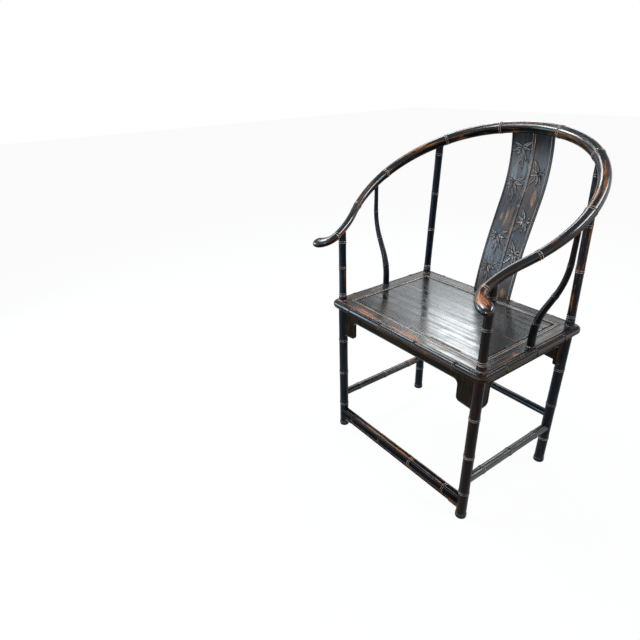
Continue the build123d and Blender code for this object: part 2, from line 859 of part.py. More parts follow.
def between_legs(piece):
    """A stretcher cut to butt on the legs."""
    for leg in grown_legs:
        piece -= leg
    return max(piece.solids(), key=lambda solid: solid.volume)


def stretcher_tenons(y, height, extra=0):
    """The two round tenons of a stretcher that runs left to right, as one bar with a gap."""
    reach = leg_x - stretcher_tenon_stop + extra
    inner_end = leg_x - foot_diameter
    diameter = stretcher_tenon_diameter + 2 * extra
    right = rod((inner_end, y, height), (reach, y, height), diameter)
    return [right, other_side(right)]


def side_tenons(extra=0):
    """The two round tenons of the right side stretcher."""
    reach = leg_y - stretcher_tenon_stop + extra
    inner_end = leg_y - foot_diameter
    diameter = stretcher_tenon_diameter + 2 * extra
    height = side_stretcher_height
    rear = rod((leg_x, inner_end, height), (leg_x, reach, height), diameter)
    return [rear, mirror(rear, about=Plane.XZ)]


def footrest_face(extra=0):
    """The footrest's section: X is forward, Y is up, round at the front."""
    block = Rectangle(footrest_depth + 2 * extra, footrest_thickness + 2 * extra)
    front = block.vertices().group_by(Axis.X)[-1]
    block = fillet(front, footrest_nose_radius + extra)
    back = block.vertices().group_by(Axis.X)[0]
    return fillet(back, footrest_back_radius + extra)


def footrest():
    """The front stretcher with its flat top, rounded front and bamboo nodes."""
    centre = Vector(0, footrest_setback - leg_y, footrest_height)
    section = Plane(origin=centre, x_dir=(0, -1, 0), z_dir=(1, 0, 0))
    bar = extrude(section * footrest_face(), amount=leg_x, both=True)
    for step in four_in_a_row:
        for offset in ridge_offsets():
            x = step * footrest_node_spacing + offset
            band = extrude(section * footrest_face(ridge_height), amount=ridge_width / 2, both=True)
            bar += Pos(x, 0, 0) * band
    bar = between_legs(bar)
    bar -= footrest_apron_board(joint_clearance)
    for tenon in stretcher_tenons(-leg_y, footrest_height):
        bar += tenon
    return bar


def footrest_apron_board(extra=0):
    """The board under the footrest before its lower edge is shaped, or its groove when grown by extra."""
    underside = footrest_height - footrest_thickness / 2
    half = footrest_apron_thickness / 2 + extra
    y = footrest_setback - leg_y
    low = (-leg_x, y - half, underside - footrest_apron_drop)
    high = (leg_x, y + half, underside + footrest_apron_tongue + extra)
    return box_between(low, high)


def footrest_apron():
    """The small apron under the footrest, deeper at its two ends."""
    underside = footrest_height - footrest_thickness / 2
    half_span = leg_x - footrest_apron_drop_reach
    height = footrest_apron_drop + footrest_apron_fillet - footrest_apron_depth
    arch = Pos(0, underside - footrest_apron_depth - height / 2) * Rectangle(2 * half_span, height)
    upper = arch.vertices().group_by(Axis.Y)[-1]
    arch = fillet(upper, footrest_apron_fillet)
    cut = extrude(Plane.XZ * arch, amount=far, both=True)
    return between_legs(footrest_apron_board() - cut)


def side_stretcher():
    """The right side stretcher with its nodes and tenons."""
    path = Edge.make_line((leg_x, -leg_y, side_stretcher_height), (leg_x, leg_y, side_stretcher_height))
    bar = bent_rod(path, side_stretcher_diameter)
    for step in three_in_a_row:
        distance = leg_y + step * side_stretcher_node_spacing
        bar += node_ridges(path, distance, side_stretcher_diameter)
    bar = between_legs(bar)
    for tenon in side_tenons():
        bar += tenon
    return bar


def rear_stretcher():
    """The plain round rear stretcher."""
    height = rear_stretcher_height
    bar = between_legs(rod((-leg_x, leg_y, height), (leg_x, leg_y, height), rear_stretcher_diameter))
    for tenon in stretcher_tenons(leg_y, height):
        bar += tenon
    return bar


# ---------------------------------------------------------------- the whole chair

def mortised_legs():
    """The four legs with the holes for their stretchers."""
    front = leg(-leg_y, front_post_node_heights)
    rear = leg(leg_y, rear_post_node_heights)
    for tenon in stretcher_tenons(-leg_y, footrest_height, joint_clearance):
        front -= tenon
    for tenon in stretcher_tenons(leg_y, rear_stretcher_height, joint_clearance):
        rear -= tenon
    for tenon in side_tenons(joint_clearance):
        front -= tenon
        rear -= tenon
    return {
        "leg_front_right": front,
        "leg_front_left": other_side(front),
        "leg_rear_right": rear,
        "leg_rear_left": other_side(rear),
    }


def rail_mortises():
    """The holes in the crest rail for the tenons of posts and splat."""
    extra = joint_clearance
    side_top = side_post_path()[-1] @ 1
    side_low = side_top - Vector(0, 0, rail_back_diameter)
    side_high = side_top + Vector(0, 0, extra)
    holes = [post_tenon(-leg_y, extra), post_tenon(leg_y, extra)]
    holes.append(rod(side_low, side_high, side_top_tenon_diameter + 2 * extra))
    holes += [other_side(hole) for hole in holes]
    holes.append(splat_tenons(extra)[1])
    return holes


def chair():
    """Every piece of the chair by name, with the middle of the seat at X = Y = 0."""
    pieces, scarf_pegs = crest_rail_sections()
    for hole in rail_mortises():
        for name in pieces:
            pieces[name] -= hole
    pieces.update(mortised_legs())
    pieces["side_post_right"] = side_post()
    pieces["side_post_left"] = other_side(pieces["side_post_right"])
    pieces["back_splat"] = back_splat()
    pieces.update(seat_frame())
    pieces["seat_panel"] = seat_panel()
    pieces["seat_batten_right"] = seat_batten(1)
    pieces["seat_batten_left"] = seat_batten(-1)
    pieces.update(aprons_and_spandrels())
    pieces["footrest"] = footrest()
    pieces["footrest_apron"] = footrest_apron()
    pieces["stretcher_right"] = side_stretcher()
    pieces["stretcher_left"] = other_side(pieces["stretcher_right"])
    pieces["stretcher_rear"] = rear_stretcher()
    solids = {name: solid_of(piece) for name, piece in pieces.items()}
    solids["scarf_pegs"] = Part() + scarf_pegs
    solids["frame_pegs"] = Part() + [frame_peg(x_side, y_side) for x_side, y_side in corners]
    return solids


os.makedirs("parts", exist_ok=True)
whole = chair()
deepest = max(piece.bounding_box().max.Y for piece in whole.values())
nearest = min(piece.bounding_box().min.Y for piece in whole.values())
to_middle = Pos(0, -(deepest + nearest) / 2, 0)
for name, piece in whole.items():
    export_step(to_middle * piece, f"parts/{name}.step")
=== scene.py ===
"""The looks of the horseshoe back armchair: carved bamboo sticks, a panelled seat and a relief-carved splat
in old dark lacquer with wear, in a plain pale studio. Sizes are in millimetres in the chair's own frame,
whose origin is on the floor under the middle of the seat, and become metres when a mesh is made."""

from math import acos, atan2, cos, hypot, inf, pi, radians, sin, tan

import bmesh
import bpy
import numpy as np
from mathutils import Matrix, Vector


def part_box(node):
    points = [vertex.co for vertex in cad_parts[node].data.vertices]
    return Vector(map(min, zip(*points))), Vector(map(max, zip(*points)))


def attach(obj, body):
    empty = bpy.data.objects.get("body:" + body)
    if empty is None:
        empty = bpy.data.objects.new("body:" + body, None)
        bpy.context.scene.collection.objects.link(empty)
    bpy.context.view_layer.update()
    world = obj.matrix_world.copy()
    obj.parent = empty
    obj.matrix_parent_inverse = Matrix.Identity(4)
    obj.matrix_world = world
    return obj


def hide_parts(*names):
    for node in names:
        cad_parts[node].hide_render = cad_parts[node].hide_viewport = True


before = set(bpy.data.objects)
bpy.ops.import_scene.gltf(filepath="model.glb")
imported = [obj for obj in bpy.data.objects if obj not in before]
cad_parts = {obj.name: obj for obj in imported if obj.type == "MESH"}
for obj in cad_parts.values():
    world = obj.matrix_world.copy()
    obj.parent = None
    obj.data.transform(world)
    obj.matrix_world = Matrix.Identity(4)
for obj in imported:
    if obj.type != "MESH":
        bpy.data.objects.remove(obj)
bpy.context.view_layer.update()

metres = 0.001
panel_low, panel_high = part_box("seat_panel")
middle_y = (panel_low.y + panel_high.y) / 2  # the middle of the seat in the shared frame, in metres

# ------------------------ sizes of the solids

joint_clearance = 0.1

# seat
leg_x, leg_y = 269.0, 189.0  # centres of the legs
seat_top, seat_underside = 490.0, 465.0
half_seat_width, half_seat_depth = 297.0, 217.0
corner_radius, nose_radius = 24.0, 12.0
member_width = 58.0
front_nodes = (-205.5, -68.5, 68.5, 205.5)  # distances from the middle of a member
side_nodes = (-126.0, 0.0, 126.0)
panel_gap, panel_drop, panel_thickness = 1.0, 1.0, 13.0
panel_tongue_width, panel_tongue_thickness = 7.0, 6.0
panel_rim = 0.9  # softened edge of the panel's top

# carved nodes: two ridges with a groove between them, where the stick swells a little
ridge_height, ridge_pitch, ridge_half_width = 0.9, 5.4, 0.85
groove_depth, groove_half_width = 0.45, 1.2
swelling, swelling_half_length = 0.35, 12.0

# legs and the posts that they turn into
leg_nodes = (93.0, 222.0, 346.0)  # heights over the floor
front_post_nodes = (22.0, 110.0, 190.0)  # heights over the seat
rear_post_nodes = (26.0, 157.0, 276.0, 398.0)
leg_top_diameter, neck_diameter, post_diameter = 27.6, 26.4, 22.4
foot_outline = (
    # height over the floor, diameter
    (0, 26.0), (0.7, 29.2), (1.8, 31.4), (3.4, 32.4), (6.0, 32.6), (8.6, 31.5), (9.6, 31.5), (11.2, 32.5),
    (12.6, 32.3), (13.8, 31.0), (14.6, 29.8), (20.0, 29.5),
)
collar_outline = (
    # height over the top of the seat, diameter
    (-1.0, neck_diameter), (-0.4, 27.6), (2.6, 27.6), (3.6, 26.0), (4.6, 25.2), (9.0, 24.9), (13.0, 23.8),
    (14.2, 23.2), (15.2, 24.2), (17.0, 24.2), (18.2, 22.7), (24.0, post_diameter),
)

# crest rail: tangent arcs in one sloping plane, from the middle of the back to the arm's end
slope = radians(28.8)
arm_height = 226.0  # the rail's centre over the seat, at the front legs
rail_back_overhang, rail_side_overhang = 89.5, 63.3  # the rail's centre past those of the legs
rail_origin = seat_top + arm_height + leg_y * tan(slope)
rail_start = (leg_y + rail_back_overhang) / cos(slope)
back_radius, back_turn = 390.0, 21.0
shoulder_turn, arm_turn = 76.0, 21.0
wrist_radius, wrist_turn = 240.0, 24.0
hook_radius, hook_turn, hook_lead = 48.0, 104.0, 23.0
rail_nodes = (93.0, 259.0, 475.0, 632.0)  # distances along the rail from the middle of the back
rail_diameters = (31.6, 31.4, 30.4, 27.0, 22.4, 22.4)  # at the middle, the nodes and the hook's start
back_lap, arm_lap = (146.0, 206.0), (542.0, 602.0)  # where the scarf joints start and end
hook_outline = (
    # share of the hook's length, width in the rail's plane, thickness, shift to the inside of its curve
    (0.0, 22.4, 22.4, 0.0), (0.12, 23.3, 22.5, 0.6), (0.25, 26.0, 22.8, 1.8), (0.38, 29.2, 23.2, 3.3),
    (0.5, 32.0, 23.6, 4.8), (0.62, 34.0, 23.9, 5.5), (0.75, 35.0, 24.0, 5.6), (1.0, 34.0, 24.0, 4.4),
)
hook_closing = 0.70  # share of the hook's length where it starts to close

# side posts
side_post_x, side_post_y = 274.0, -1.0
side_post_nodes = (70.0, 160.0, 245.0)
side_post_diameters = (19.2, 15.6, 13.6)  # at the nodes
side_post_top_diameter = 11.8
side_post_collar = ((0, 22.6), (2.6, 22.4), (3.8, 20.6))

# stretchers
side_stretcher_height, side_stretcher_diameter = 135.0, 24.0
side_stretcher_nodes = (-122.0, 0.0, 122.0)
rear_stretcher_height, rear_stretcher_diameter = 182.0, 23.0
stretcher_stop = 6.0  # from a stretcher's end to the leg's centre
footrest_y, footrest_height, footrest_nose_radius = -leg_y - 3.0, 58.0, 11.0
footrest_underside = 46.5
footrest_apron_thickness, footrest_apron_depth, footrest_apron_drop = 8.0, 12.0, 21.0

# aprons and spandrels under the seat
apron_thickness, apron_tongue = 10.0, 4.0
apron_depth, side_apron_depth = 33.0, 27.0
spandrel_reach, side_spandrel_reach = 62.0, 41.0  # from the leg's centre
spandrel_seam = 30.0  # past the spandrel's reach, where the apron starts

# back splat
splat_half_width, splat_half_thickness = 66.0, 4.5
splat_lower_radius, splat_upper_radius = 1100.0, 350.0
splat_foot_lean, splat_middle_lean = radians(8.0), radians(18.86)
splat_foot_y = half_seat_depth - 18.5
splat_top_setback = 5.0  # behind the rail's centre
carving_depth, carving_height = 1.7, 1.65  # of the ground under the face, and of leaves over it


# ------------------------ small helpers

def smooth(value, low, high):
    """0 below low, 1 above high and smooth between them."""
    share = np.clip((value - low) / (high - low), 0, 1)
    return share * share * (3 - 2 * share)


def bump(value, middle, half_width):
    """A smooth hill of height 1."""
    return np.exp(-((value - middle) / half_width) ** 2)


def patches(x, y, spots):
    """Soft spots of (strength, middle along x, half length, middle along y, half width)."""
    return sum(strength * bump(x, x_middle, half_length) * bump(y, y_middle, half_width)
               for strength, x_middle, half_length, y_middle, half_width in spots)


def vectors(*axes):
    """An array of vectors from the arrays of their coordinates."""
    return np.stack(axes, -1)


def unit(rows):
    return rows / np.linalg.norm(rows, axis=-1, keepdims=True)


def winding(outline):
    """1 for a closed outline that runs anticlockwise and -1 for one that runs clockwise."""
    x, y = outline.T
    return np.sign(np.sum(x * np.roll(y, -1) - np.roll(x, -1) * y))


def outward_normals(outline):
    """The outward directions at the points of a closed outline."""
    tangent = unit(np.roll(outline, -1, 0) - np.roll(outline, 1, 0))
    return -winding(outline) * vectors(-tangent[:, 1], tangent[:, 0])


def arc_points(centre, radius, first, last, count=9):
    """Points on an arc between two angles in degrees."""
    angles = np.radians(np.linspace(first, last, count))
    return [(centre[0] + radius * cos(a), centre[1] + radius * sin(a)) for a in angles]


def follow(pieces, start, heading, distances):
    """Points and headings at distances along a chain of lines and arcs, given as (length, turn) pairs."""
    found = []
    for distance in distances:
        (x, y), angle, left = start, heading, distance
        for number, (length, turn) in enumerate(pieces):
            step = left if number == len(pieces) - 1 else min(left, length)
            if turn:
                radius = length / turn
                x += radius * (sin(angle + step / radius) - sin(angle))
                y -= radius * (cos(angle + step / radius) - cos(angle))
                angle += step / radius
            else:
                x += step * cos(angle)
                y += step * sin(angle)
            left -= step
            if left <= 0:
                break
        found.append((x, y, angle))
    return np.array(found).T


def stations(start, end, nodes, coarse=6.0, extra=()):
    """Places along a piece, close together round its carved nodes."""
    fine, reach, closest = 0.5, 8.0, 0.25
    marks = list(np.linspace(start, end, int((end - start) / coarse) + 2)) + list(extra)
    for node in nodes:
        marks += list(node + np.arange(-reach, reach + 0.1, fine))
    kept = [start]
    for mark in sorted(marks):
        if mark - kept[-1] > closest and end - mark > closest:
            kept.append(mark)
    return np.array(kept + [end])


def carved_nodes(along, nodes):
    """The added radius and the wear of the carved bamboo nodes, with a painted highlight on their ridges, at
    places along a stick.
    """
    added, wear_and_painted_light = np.zeros_like(along), np.zeros_like(along)
    for node in nodes:
        away = along - node
        ridges = bump(np.abs(away), ridge_pitch / 2, ridge_half_width)
        added += ridge_height * ridges - groove_depth * bump(away, 0, groove_half_width)
        added += swelling * bump(away, 0, swelling_half_length)
        wear_and_painted_light = np.maximum(wear_and_painted_light, 0.95 * ridges)
    return added, wear_and_painted_light


def over_ground(ridges, ground):
    """The wear and painted highlight of carved ridges over the marks of their ground, which are painted
    shade, dark and dull, where they are under 0.
    """
    return ridges + ground * (1 - np.clip(3 * ridges, 0, 1))


# ------------------------ meshes

class Skin:
    """A closed skin through rings of points, with the place along the straightened grain and the wear of each
    point, which also carries painted highlights, and painted shade where it is under 0."""

    def __init__(self, rings, grain, wear_and_painted_light, rubbed):
        rows, columns = rings.shape[:2]
        index = np.arange(rows * columns).reshape(rows, columns)
        here, ahead = index[:-1], index[1:]
        quads = vectors(here, np.roll(here, -1, 1), np.roll(ahead, -1, 1), ahead)
        self.faces = quads.reshape(-1, 4).tolist() + [index[0].tolist()[::-1], index[-1].tolist()]
        self.points, self.grain = rings.reshape(-1, 3), grain.reshape(-1, 3)
        self.wear_and_painted_light = np.broadcast_to(wear_and_painted_light, (rows, columns)).reshape(-1)
        self.rubbed = np.broadcast_to(rubbed, (rows, columns)).reshape(-1)


pieces_made = []
grain_step = 0.37  # metres from one piece's grain to the next one's
weld_distance = 0.00001  # metres
sharp_angle = radians(38)  # edges that turn more than this are shaded sharp
around = np.linspace(0, 2 * np.pi, 32, endpoint=False)  # angles of the points round a stick


def add_object(name, data):
    thing = bpy.data.objects.new(name, data)
    bpy.context.scene.collection.objects.link(thing)
    return thing


def make_piece(node, shape, material, side=(1, 1), slot="frame_lacquer"):
    """The piece that stands for a CAD node. side turns the shape to the left or to the back."""
    shift = grain_step * len(pieces_made) * np.array((1.0, 0.6, 0.3))
    points = shape.points * np.array((*side, 1.0)) * metres + (0, middle_y, 0)
    mesh = bpy.data.meshes.new(node + "_look")
    mesh.from_pydata(points.tolist(), [], shape.faces)
    grain = shape.grain * metres + shift
    layer = mesh.attributes.new("grain", "FLOAT_VECTOR", "POINT")
    layer.data.foreach_set("vector", grain.ravel().astype(np.float32))
    for name, values in (("wear_and_painted_light", shape.wear_and_painted_light), ("rubbed", shape.rubbed)):
        layer = mesh.attributes.new(name, "FLOAT", "POINT")
        layer.data.foreach_set("value", values.astype(np.float32))
    skin = bmesh.new()
    skin.from_mesh(mesh)
    bmesh.ops.remove_doubles(skin, verts=skin.verts, dist=weld_distance)
    bmesh.ops.dissolve_degenerate(skin, edges=skin.edges, dist=weld_distance)
    bmesh.ops.recalc_face_normals(skin, faces=skin.faces)
    for face in skin.faces:
        face.smooth = True
    for edge in skin.edges:
        edge.smooth = edge.calc_face_angle(0.0) < sharp_angle
    skin.to_mesh(mesh)
    skin.free()
    mesh.materials.append(materials[material])
    piece = add_object(node + "_look", mesh)
    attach(piece, "root")
    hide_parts(node)
    pieces_made.append(piece)


def stick_skin(centres, across, upward, widths, thicknesses, along, wear_and_painted_light, rubbed=0.0, half=0):
    """A stick with oval sections. half is 1 or -1 where only its upper or lower half is left."""
    across, upward = (np.broadcast_to(axis, centres.shape)[:, None] for axis in (across, upward))
    half = np.broadcast_to(half, along.shape)[:, None]
    sideways = widths[:, None] / 2 * np.cos(around)
    up = thicknesses[:, None] / 2 * np.sin(around)
    up = np.where(half > 0, np.maximum(up, joint_clearance), up)
    up = np.where(half < 0, np.minimum(up, -joint_clearance), up)
    rings = centres[:, None] + sideways[..., None] * across + up[..., None] * upward
    grain = vectors(np.broadcast_to(along[:, None], up.shape), sideways, up)
    return Skin(rings, grain, wear_and_painted_light[:, None], rubbed)


# ------------------------ materials

class Nodes:
    """The nodes of a material or of the world, which are added one by one. Colours are (red, green, blue)."""

    def __init__(self, owner):
        owner.use_nodes = True
        self.tree = owner.node_tree
        self.tree.nodes.clear()

    def add(self, kind, inputs, output=0, **settings):
        """An output of a new node with these inputs, which are values or the outputs of other nodes."""
        node = self.tree.nodes.new("ShaderNode" + kind)
        for name, value in settings.items():
            setattr(node, name, value)
        for key, value in inputs.items():
            socket = node.inputs[key]
            if isinstance(value, bpy.types.NodeSocket):
                self.tree.links.new(value, socket)
            else:
                socket.default_value = (*value, 1.0) if socket.type == "RGBA" else value
        return node.outputs[output]

    def show(self, shader, kind="OutputMaterial"):
        node = self.tree.nodes.new("ShaderNode" + kind)
        self.tree.links.new(shader, node.inputs["Surface"])

    def noise(self, place, stretch, detail, roughness):
        """Noise at a place stretched by a factor along each axis, from 0 to 1."""
        scaled = self.add("VectorMath", {0: place, 1: stretch}, operation="MULTIPLY")
        inputs = {"Vector": scaled, "Scale": 1.0, "Detail": detail, "Roughness": roughness}
        return self.add("TexNoise", inputs)

    def maths(self, operation, first, second=0.0, third=0.0):
        return self.add("Math", {0: first, 1: second, 2: third}, operation=operation)

    def times(self, first, second):
        return self.maths("MULTIPLY", first, second)

    def plus(self, base, value, factor):
        """The base with a value times a factor added to it."""
        return self.maths("MULTIPLY_ADD", value, factor, base)

    def ramp(self, value, low, high, first=0.0, last=1.0):
        inputs = {"Value": value, "From Min": low, "From Max": high, "To Min": first, "To Max": last}
        return self.add("MapRange", inputs, interpolation_type="SMOOTHSTEP")

    def mix(self, share, first, second):
        return self.add("Mix", {0: share, 6: first, 7: second}, 2, data_type="RGBA")


white = (1.0, 1.0, 1.0)
black = (0.0030, 0.0034, 0.0044)
# pale wood where the lacquer has gone, which also stands for the painted highlights on beads, edges and node
# ridges
pale_wear_and_highlight = (0.60, 0.49, 0.41)
umber = (0.020, 0.012, 0.009)
rust = (0.130, 0.042, 0.017)
orange = (0.540, 0.200, 0.060)


def lacquer(name, dark=black, brown=umber, brown_from=0.46, rub_dark=rust, rub_light=orange, rub_amount=0.0,
            gloss=0.3, streak=(8, 125, 125), under_shine=0.03, top_shine=0.6, streak_shine=0.35,
            bump_strength=0.05, solid=False):
    """Old dark lacquer that wears pale along the edges, with painted highlights there as well, is rubbed
    through to the wood in streaks, and has painted shade in its corners and a weaker reflection below and
    along its outlines as painted shade. A solid one is for a CAD mesh, which has no wear."""
    material = bpy.data.materials.new(name)
    nodes = Nodes(material)
    if solid:
        place = nodes.add("TexCoord", {}, "Object")
    else:
        place = nodes.add("Attribute", {}, "Vector", attribute_name="grain")
        wear_and_painted_light, rubbed = (nodes.add("Attribute", {}, "Fac", attribute_name=name) for name in ("wear_and_painted_light", "rubbed"))

    # what the colours and the gloss follow: streaks along the grain, clouds and specks
    streaks = nodes.noise(place, streak, 2.6, 0.55)
    fine = nodes.noise(place, tuple(4.5 * value for value in streak), 2.0, 0.5)
    cloud = nodes.noise(place, (22, 34, 34), 3.0, 0.55)
    specks = nodes.noise(place, (420, 640, 640), 2.0, 0.6)
    tone = nodes.plus(nodes.times(cloud, 0.3), streaks, 0.7)

    # dark and brown lacquer, the rubbed patches, the pale edges, which are wear with painted highlight, and
    # the painted shade in the corners of the carving
    base = nodes.mix(nodes.ramp(tone, brown_from, brown_from + 0.14), dark, brown)
    patch = nodes.plus(nodes.times(cloud, 0.55), streaks, 1.15)
    patch = nodes.maths("ADD", patch, rub_amount)
    if not solid:
        patch = nodes.maths("ADD", patch, rubbed)
    bare = nodes.times(nodes.ramp(patch, 1.14, 1.34), nodes.ramp(fine, 0.3, 0.6, 0.35, 1.0))
    base = nodes.mix(bare, base, nodes.mix(nodes.ramp(fine, 0.3, 0.7), rub_dark, rub_light))
    if not solid:
        edge = nodes.plus(nodes.plus(wear_and_painted_light, cloud, 1.4), specks, 0.2)
        base = nodes.mix(nodes.ramp(edge, 1.25, 1.9), base, pale_wear_and_highlight)
        # under 0 the colour goes to black: painted shade
        base = nodes.mix(nodes.ramp(wear_and_painted_light, 0.0, -0.8), base, black)

    # gloss, duller on bare wood, and a reflection that is weaker on what faces down, along the outlines and
    # in the corners, as painted shade
    dull = nodes.plus(nodes.ramp(tone, 0.35, 0.65, gloss, gloss + 0.14), bare, 0.1)
    swell = nodes.noise(place, tuple(0.45 * value for value in streak), 1.0, 0.4)
    relief = nodes.add("Bump", {"Strength": bump_strength, "Distance": 0.0012, "Height": swell})
    facing = nodes.add("SeparateXYZ", {0: nodes.add("TexCoord", {}, "Normal")}, "Z")
    shine = nodes.ramp(facing, -0.1, 0.5, under_shine, top_shine)
    shine = nodes.times(shine, nodes.ramp(tone, 0.36, 0.64, 1.3, streak_shine))
    edge_on = nodes.add("LayerWeight", {"Blend": 0.5}, "Facing")
    shine = nodes.times(shine, nodes.ramp(edge_on, 0.7, 0.96, 1.0, 0.1))
    if not solid:
        shine = nodes.times(shine, nodes.ramp(wear_and_painted_light, -0.8, 0.0, 0.25, 1.0))
    inputs = {"Base Color": base, "Roughness": dull, "Normal": relief, "Specular IOR Level": shine}
    nodes.show(nodes.add("BsdfPrincipled", inputs))
    return material


materials = {name: lacquer(name, **looks) for name, looks in {
    "warm_stick_lacquer": dict(brown=(0.034, 0.014, 0.010), gloss=0.20, under_shine=0.045),
    # the left and rear sticks: a blue cast in the dark lacquer, a painted reflection of the cool light on
    # that side
    "blue_sheen_stick_lacquer": dict(
        dark=(0.0036, 0.0085, 0.0150), brown=(0.014, 0.013, 0.014), brown_from=0.5, gloss=0.20,
        under_shine=0.07),
    "post_lacquer": dict(brown_from=0.5, gloss=0.20, under_shine=0.045),
    "frame_lacquer": dict(
        brown=(0.064, 0.038, 0.023), brown_from=0.45, gloss=0.18, streak=(6, 85, 85), top_shine=0.7),
    "footrest_lacquer": dict(brown=(0.020, 0.012, 0.008), rub_amount=0.03, top_shine=0.12),
    "stretcher_lacquer": dict(brown_from=0.5, under_shine=0.12, top_shine=1.0, streak_shine=0.6),
    "board_lacquer": dict(
        dark=(0.008, 0.006, 0.004), brown=(0.034, 0.020, 0.010), gloss=0.4, under_shine=0.02),
    "rail_lacquer": dict(
        brown=(0.078, 0.044, 0.026), brown_from=0.475, rub_light=(0.66, 0.21, 0.042), rub_amount=0.08,
        gloss=0.16, top_shine=1.0),
    "panel_lacquer": dict(
        dark=(0.004, 0.006, 0.006), brown=(0.028, 0.020, 0.013), rub_amount=0.05, gloss=0.14,
        streak=(1.5, 75, 75), top_shine=0.7, streak_shine=0.65, bump_strength=0.06),
    "splat_lacquer": dict(
        dark=(0.005, 0.009, 0.016), brown=(0.088, 0.062, 0.044), brown_from=0.455,
        rub_dark=(0.17, 0.095, 0.052), rub_light=(0.42, 0.22, 0.11), gloss=0.24,
        streak=(10, 130, 130), under_shine=0.8, top_shine=0.8, bump_strength=0.1),
    "apron_lacquer": dict(
        dark=(0.030, 0.014, 0.007), brown=(0.170, 0.070, 0.028), rub_amount=0.12, gloss=0.35),
    "peg_lacquer": dict(solid=True),
    "bare_wood": dict(
        dark=(0.050, 0.028, 0.016), brown=(0.105, 0.060, 0.034), rub_dark=(0.13, 0.07, 0.04),
        rub_light=(0.17, 0.095, 0.05), gloss=0.55, streak=(160, 7, 160), solid=True),
}.items()}


# ------------------------ crest rail

def rail_pieces():
    """The arcs of the rail's right half as (length, turn) pairs, and the distance of the hook's start."""
    def depth(radius, first, last):
        return radius * abs(cos(radians(first)) - cos(radians(last)))
    sine = sin(radians(back_turn))
    shoulder_radius = (leg_x + rail_side_overhang - back_radius * sine) / (1 - sine)
    shoulder_end = back_turn + shoulder_turn
    arm_end = shoulder_end + arm_turn
    left = (2 * leg_y + rail_back_overhang + hook_lead) / cos(slope)
    left -= depth(back_radius, 0, back_turn) + depth(shoulder_radius, back_turn, shoulder_end)
    left -= depth(wrist_radius, arm_end, arm_end - wrist_turn)
    arm_radius = left / depth(1, shoulder_end, arm_end)
    bends = ((back_radius, back_turn), (shoulder_radius, shoulder_turn), (arm_radius, arm_turn),
             (wrist_radius, -wrist_turn), (hook_radius, -hook_turn))
    found = [(radius * radians(abs(turn)), -radians(turn)) for radius, turn in bends]
    return found, sum(length for length, turn in found[:-1])


rail_chain, hook_start = rail_pieces()
rail_end = hook_start + rail_chain[-1][0]
rail_up = np.array((0, -sin(slope), cos(slope)))


def from_rail_plane(x, y):
    """A point or direction of the rail's plane in the chair's frame, without the plane's height."""
    return vectors(x, y * cos(slope), y * sin(slope))


def rail_line(distances):
    """The rail's centre line and the outward direction in its plane, at distances from the middle of the
    back that are negative on the left."""
    side = np.where(distances < 0, -1.0, 1.0)
    x, y, angle = follow(rail_chain, (0, rail_start), 0.0, np.abs(distances))
    centres = from_rail_plane(side * x, y) + (0, 0, rail_origin)
    return centres, from_rail_plane(-side * np.sin(angle), np.cos(angle))


def rail_over(y):
    """The point of the right half of the rail over a depth of the chair."""
    centres, across = rail_line(np.linspace(0, hook_start, 4000))
    return centres[np.argmin(np.abs(centres[:, 1] - y))]


def hook_sizes(share):
    """Width in the rail's plane, thickness and shift of the hook at shares of its length."""
    marks, *columns = zip(*hook_outline)
    width, thickness, shift = (np.interp(share, marks, column) for column in columns)
    closing = np.clip((share - hook_closing) / (1 - hook_closing), 0, 0.9995)
    blunt = (1 - closing ** 2.4) ** (1 / 2.4)
    return width * blunt, thickness * blunt, shift


def rail_section(start, end, rubbed_of, lower_to=0.0, upper_from=inf):
    """A section of the rail. In its laps only half of the stick is left: the lower half as far as lower_to
    and the upper half from upper_from, counted both ways from the middle of the back."""
    nodes = [node for node in rail_nodes + (hook_start,) if start < node < end]
    nodes += [-node for node in rail_nodes if start < -node < end]
    laps = [sign * place + step for sign in (-1, 1) for place in back_lap + arm_lap
            for step in (-0.15, 0.15)]
    closing = hook_start + (rail_end - hook_start) * (1 - np.geomspace(0.0004, 0.3, 26))
    extra = [place for place in laps + list(closing) if start < place < end]
    along = stations(start, end, nodes, coarse=5.0, extra=extra)
    distance = np.abs(along)
    half = np.where(distance < lower_to, -1, np.where(distance > upper_from, 1, 0))
    diameters = np.interp(distance, (0, *rail_nodes, hook_start), rail_diameters)
    share = (along - hook_start) / (rail_end - hook_start)
    in_hook = share > 0
    width, thickness, shift = hook_sizes(np.clip(share, 0, 1))
    added, wear_and_painted_light = carved_nodes(along, nodes)
    widths = np.where(in_hook, width, diameters) + 2 * added
    thicknesses = np.where(in_hook, thickness, diameters) + 2 * added
    centres, across = rail_line(along)
    centres = centres + np.where(in_hook, shift, 0.0)[:, None] * across
    rubbed = rubbed_of(along[:, None], np.sin(around), np.cos(around))
    return stick_skin(centres, across, rail_up, widths, thicknesses, along, wear_and_painted_light, rubbed, half)


def back_rub(along, up, outward):
    return 0.02 + 0.05 * smooth(up, 0.1, 0.9) + 0.16 * bump(along, 50, 60) * smooth(up, -0.2, 0.8)


def shoulder_rub(along, up, outward):
    return 0.10 + 0.14 * bump(outward, -0.4, 0.6) * bump(along, 340, 120)


def arm_rub(along, up, outward):
    """Hands have rubbed the upper side of the right arm's end and of its hook."""
    on_hook = smooth(along, hook_start, hook_start + 20)
    wrist = smooth(along, 660, 730) * (1 - on_hook) * bump(up, 0.75, 0.4) * bump(outward, -0.5, 0.6)
    hook = bump(along, hook_start + 47, 25) * bump(outward, -0.05, 0.38) * smooth(up, 0.2, 0.7)
    return 0.06 + 0.30 * wrist + 1.3 * hook + 0.05 * on_hook


def left_arm_rub(along, up, outward):
    return 0.05 + 0.08 * smooth(along, 640, 720) * smooth(up, 0.2, 0.9)


# ------------------------ legs, posts and stretchers

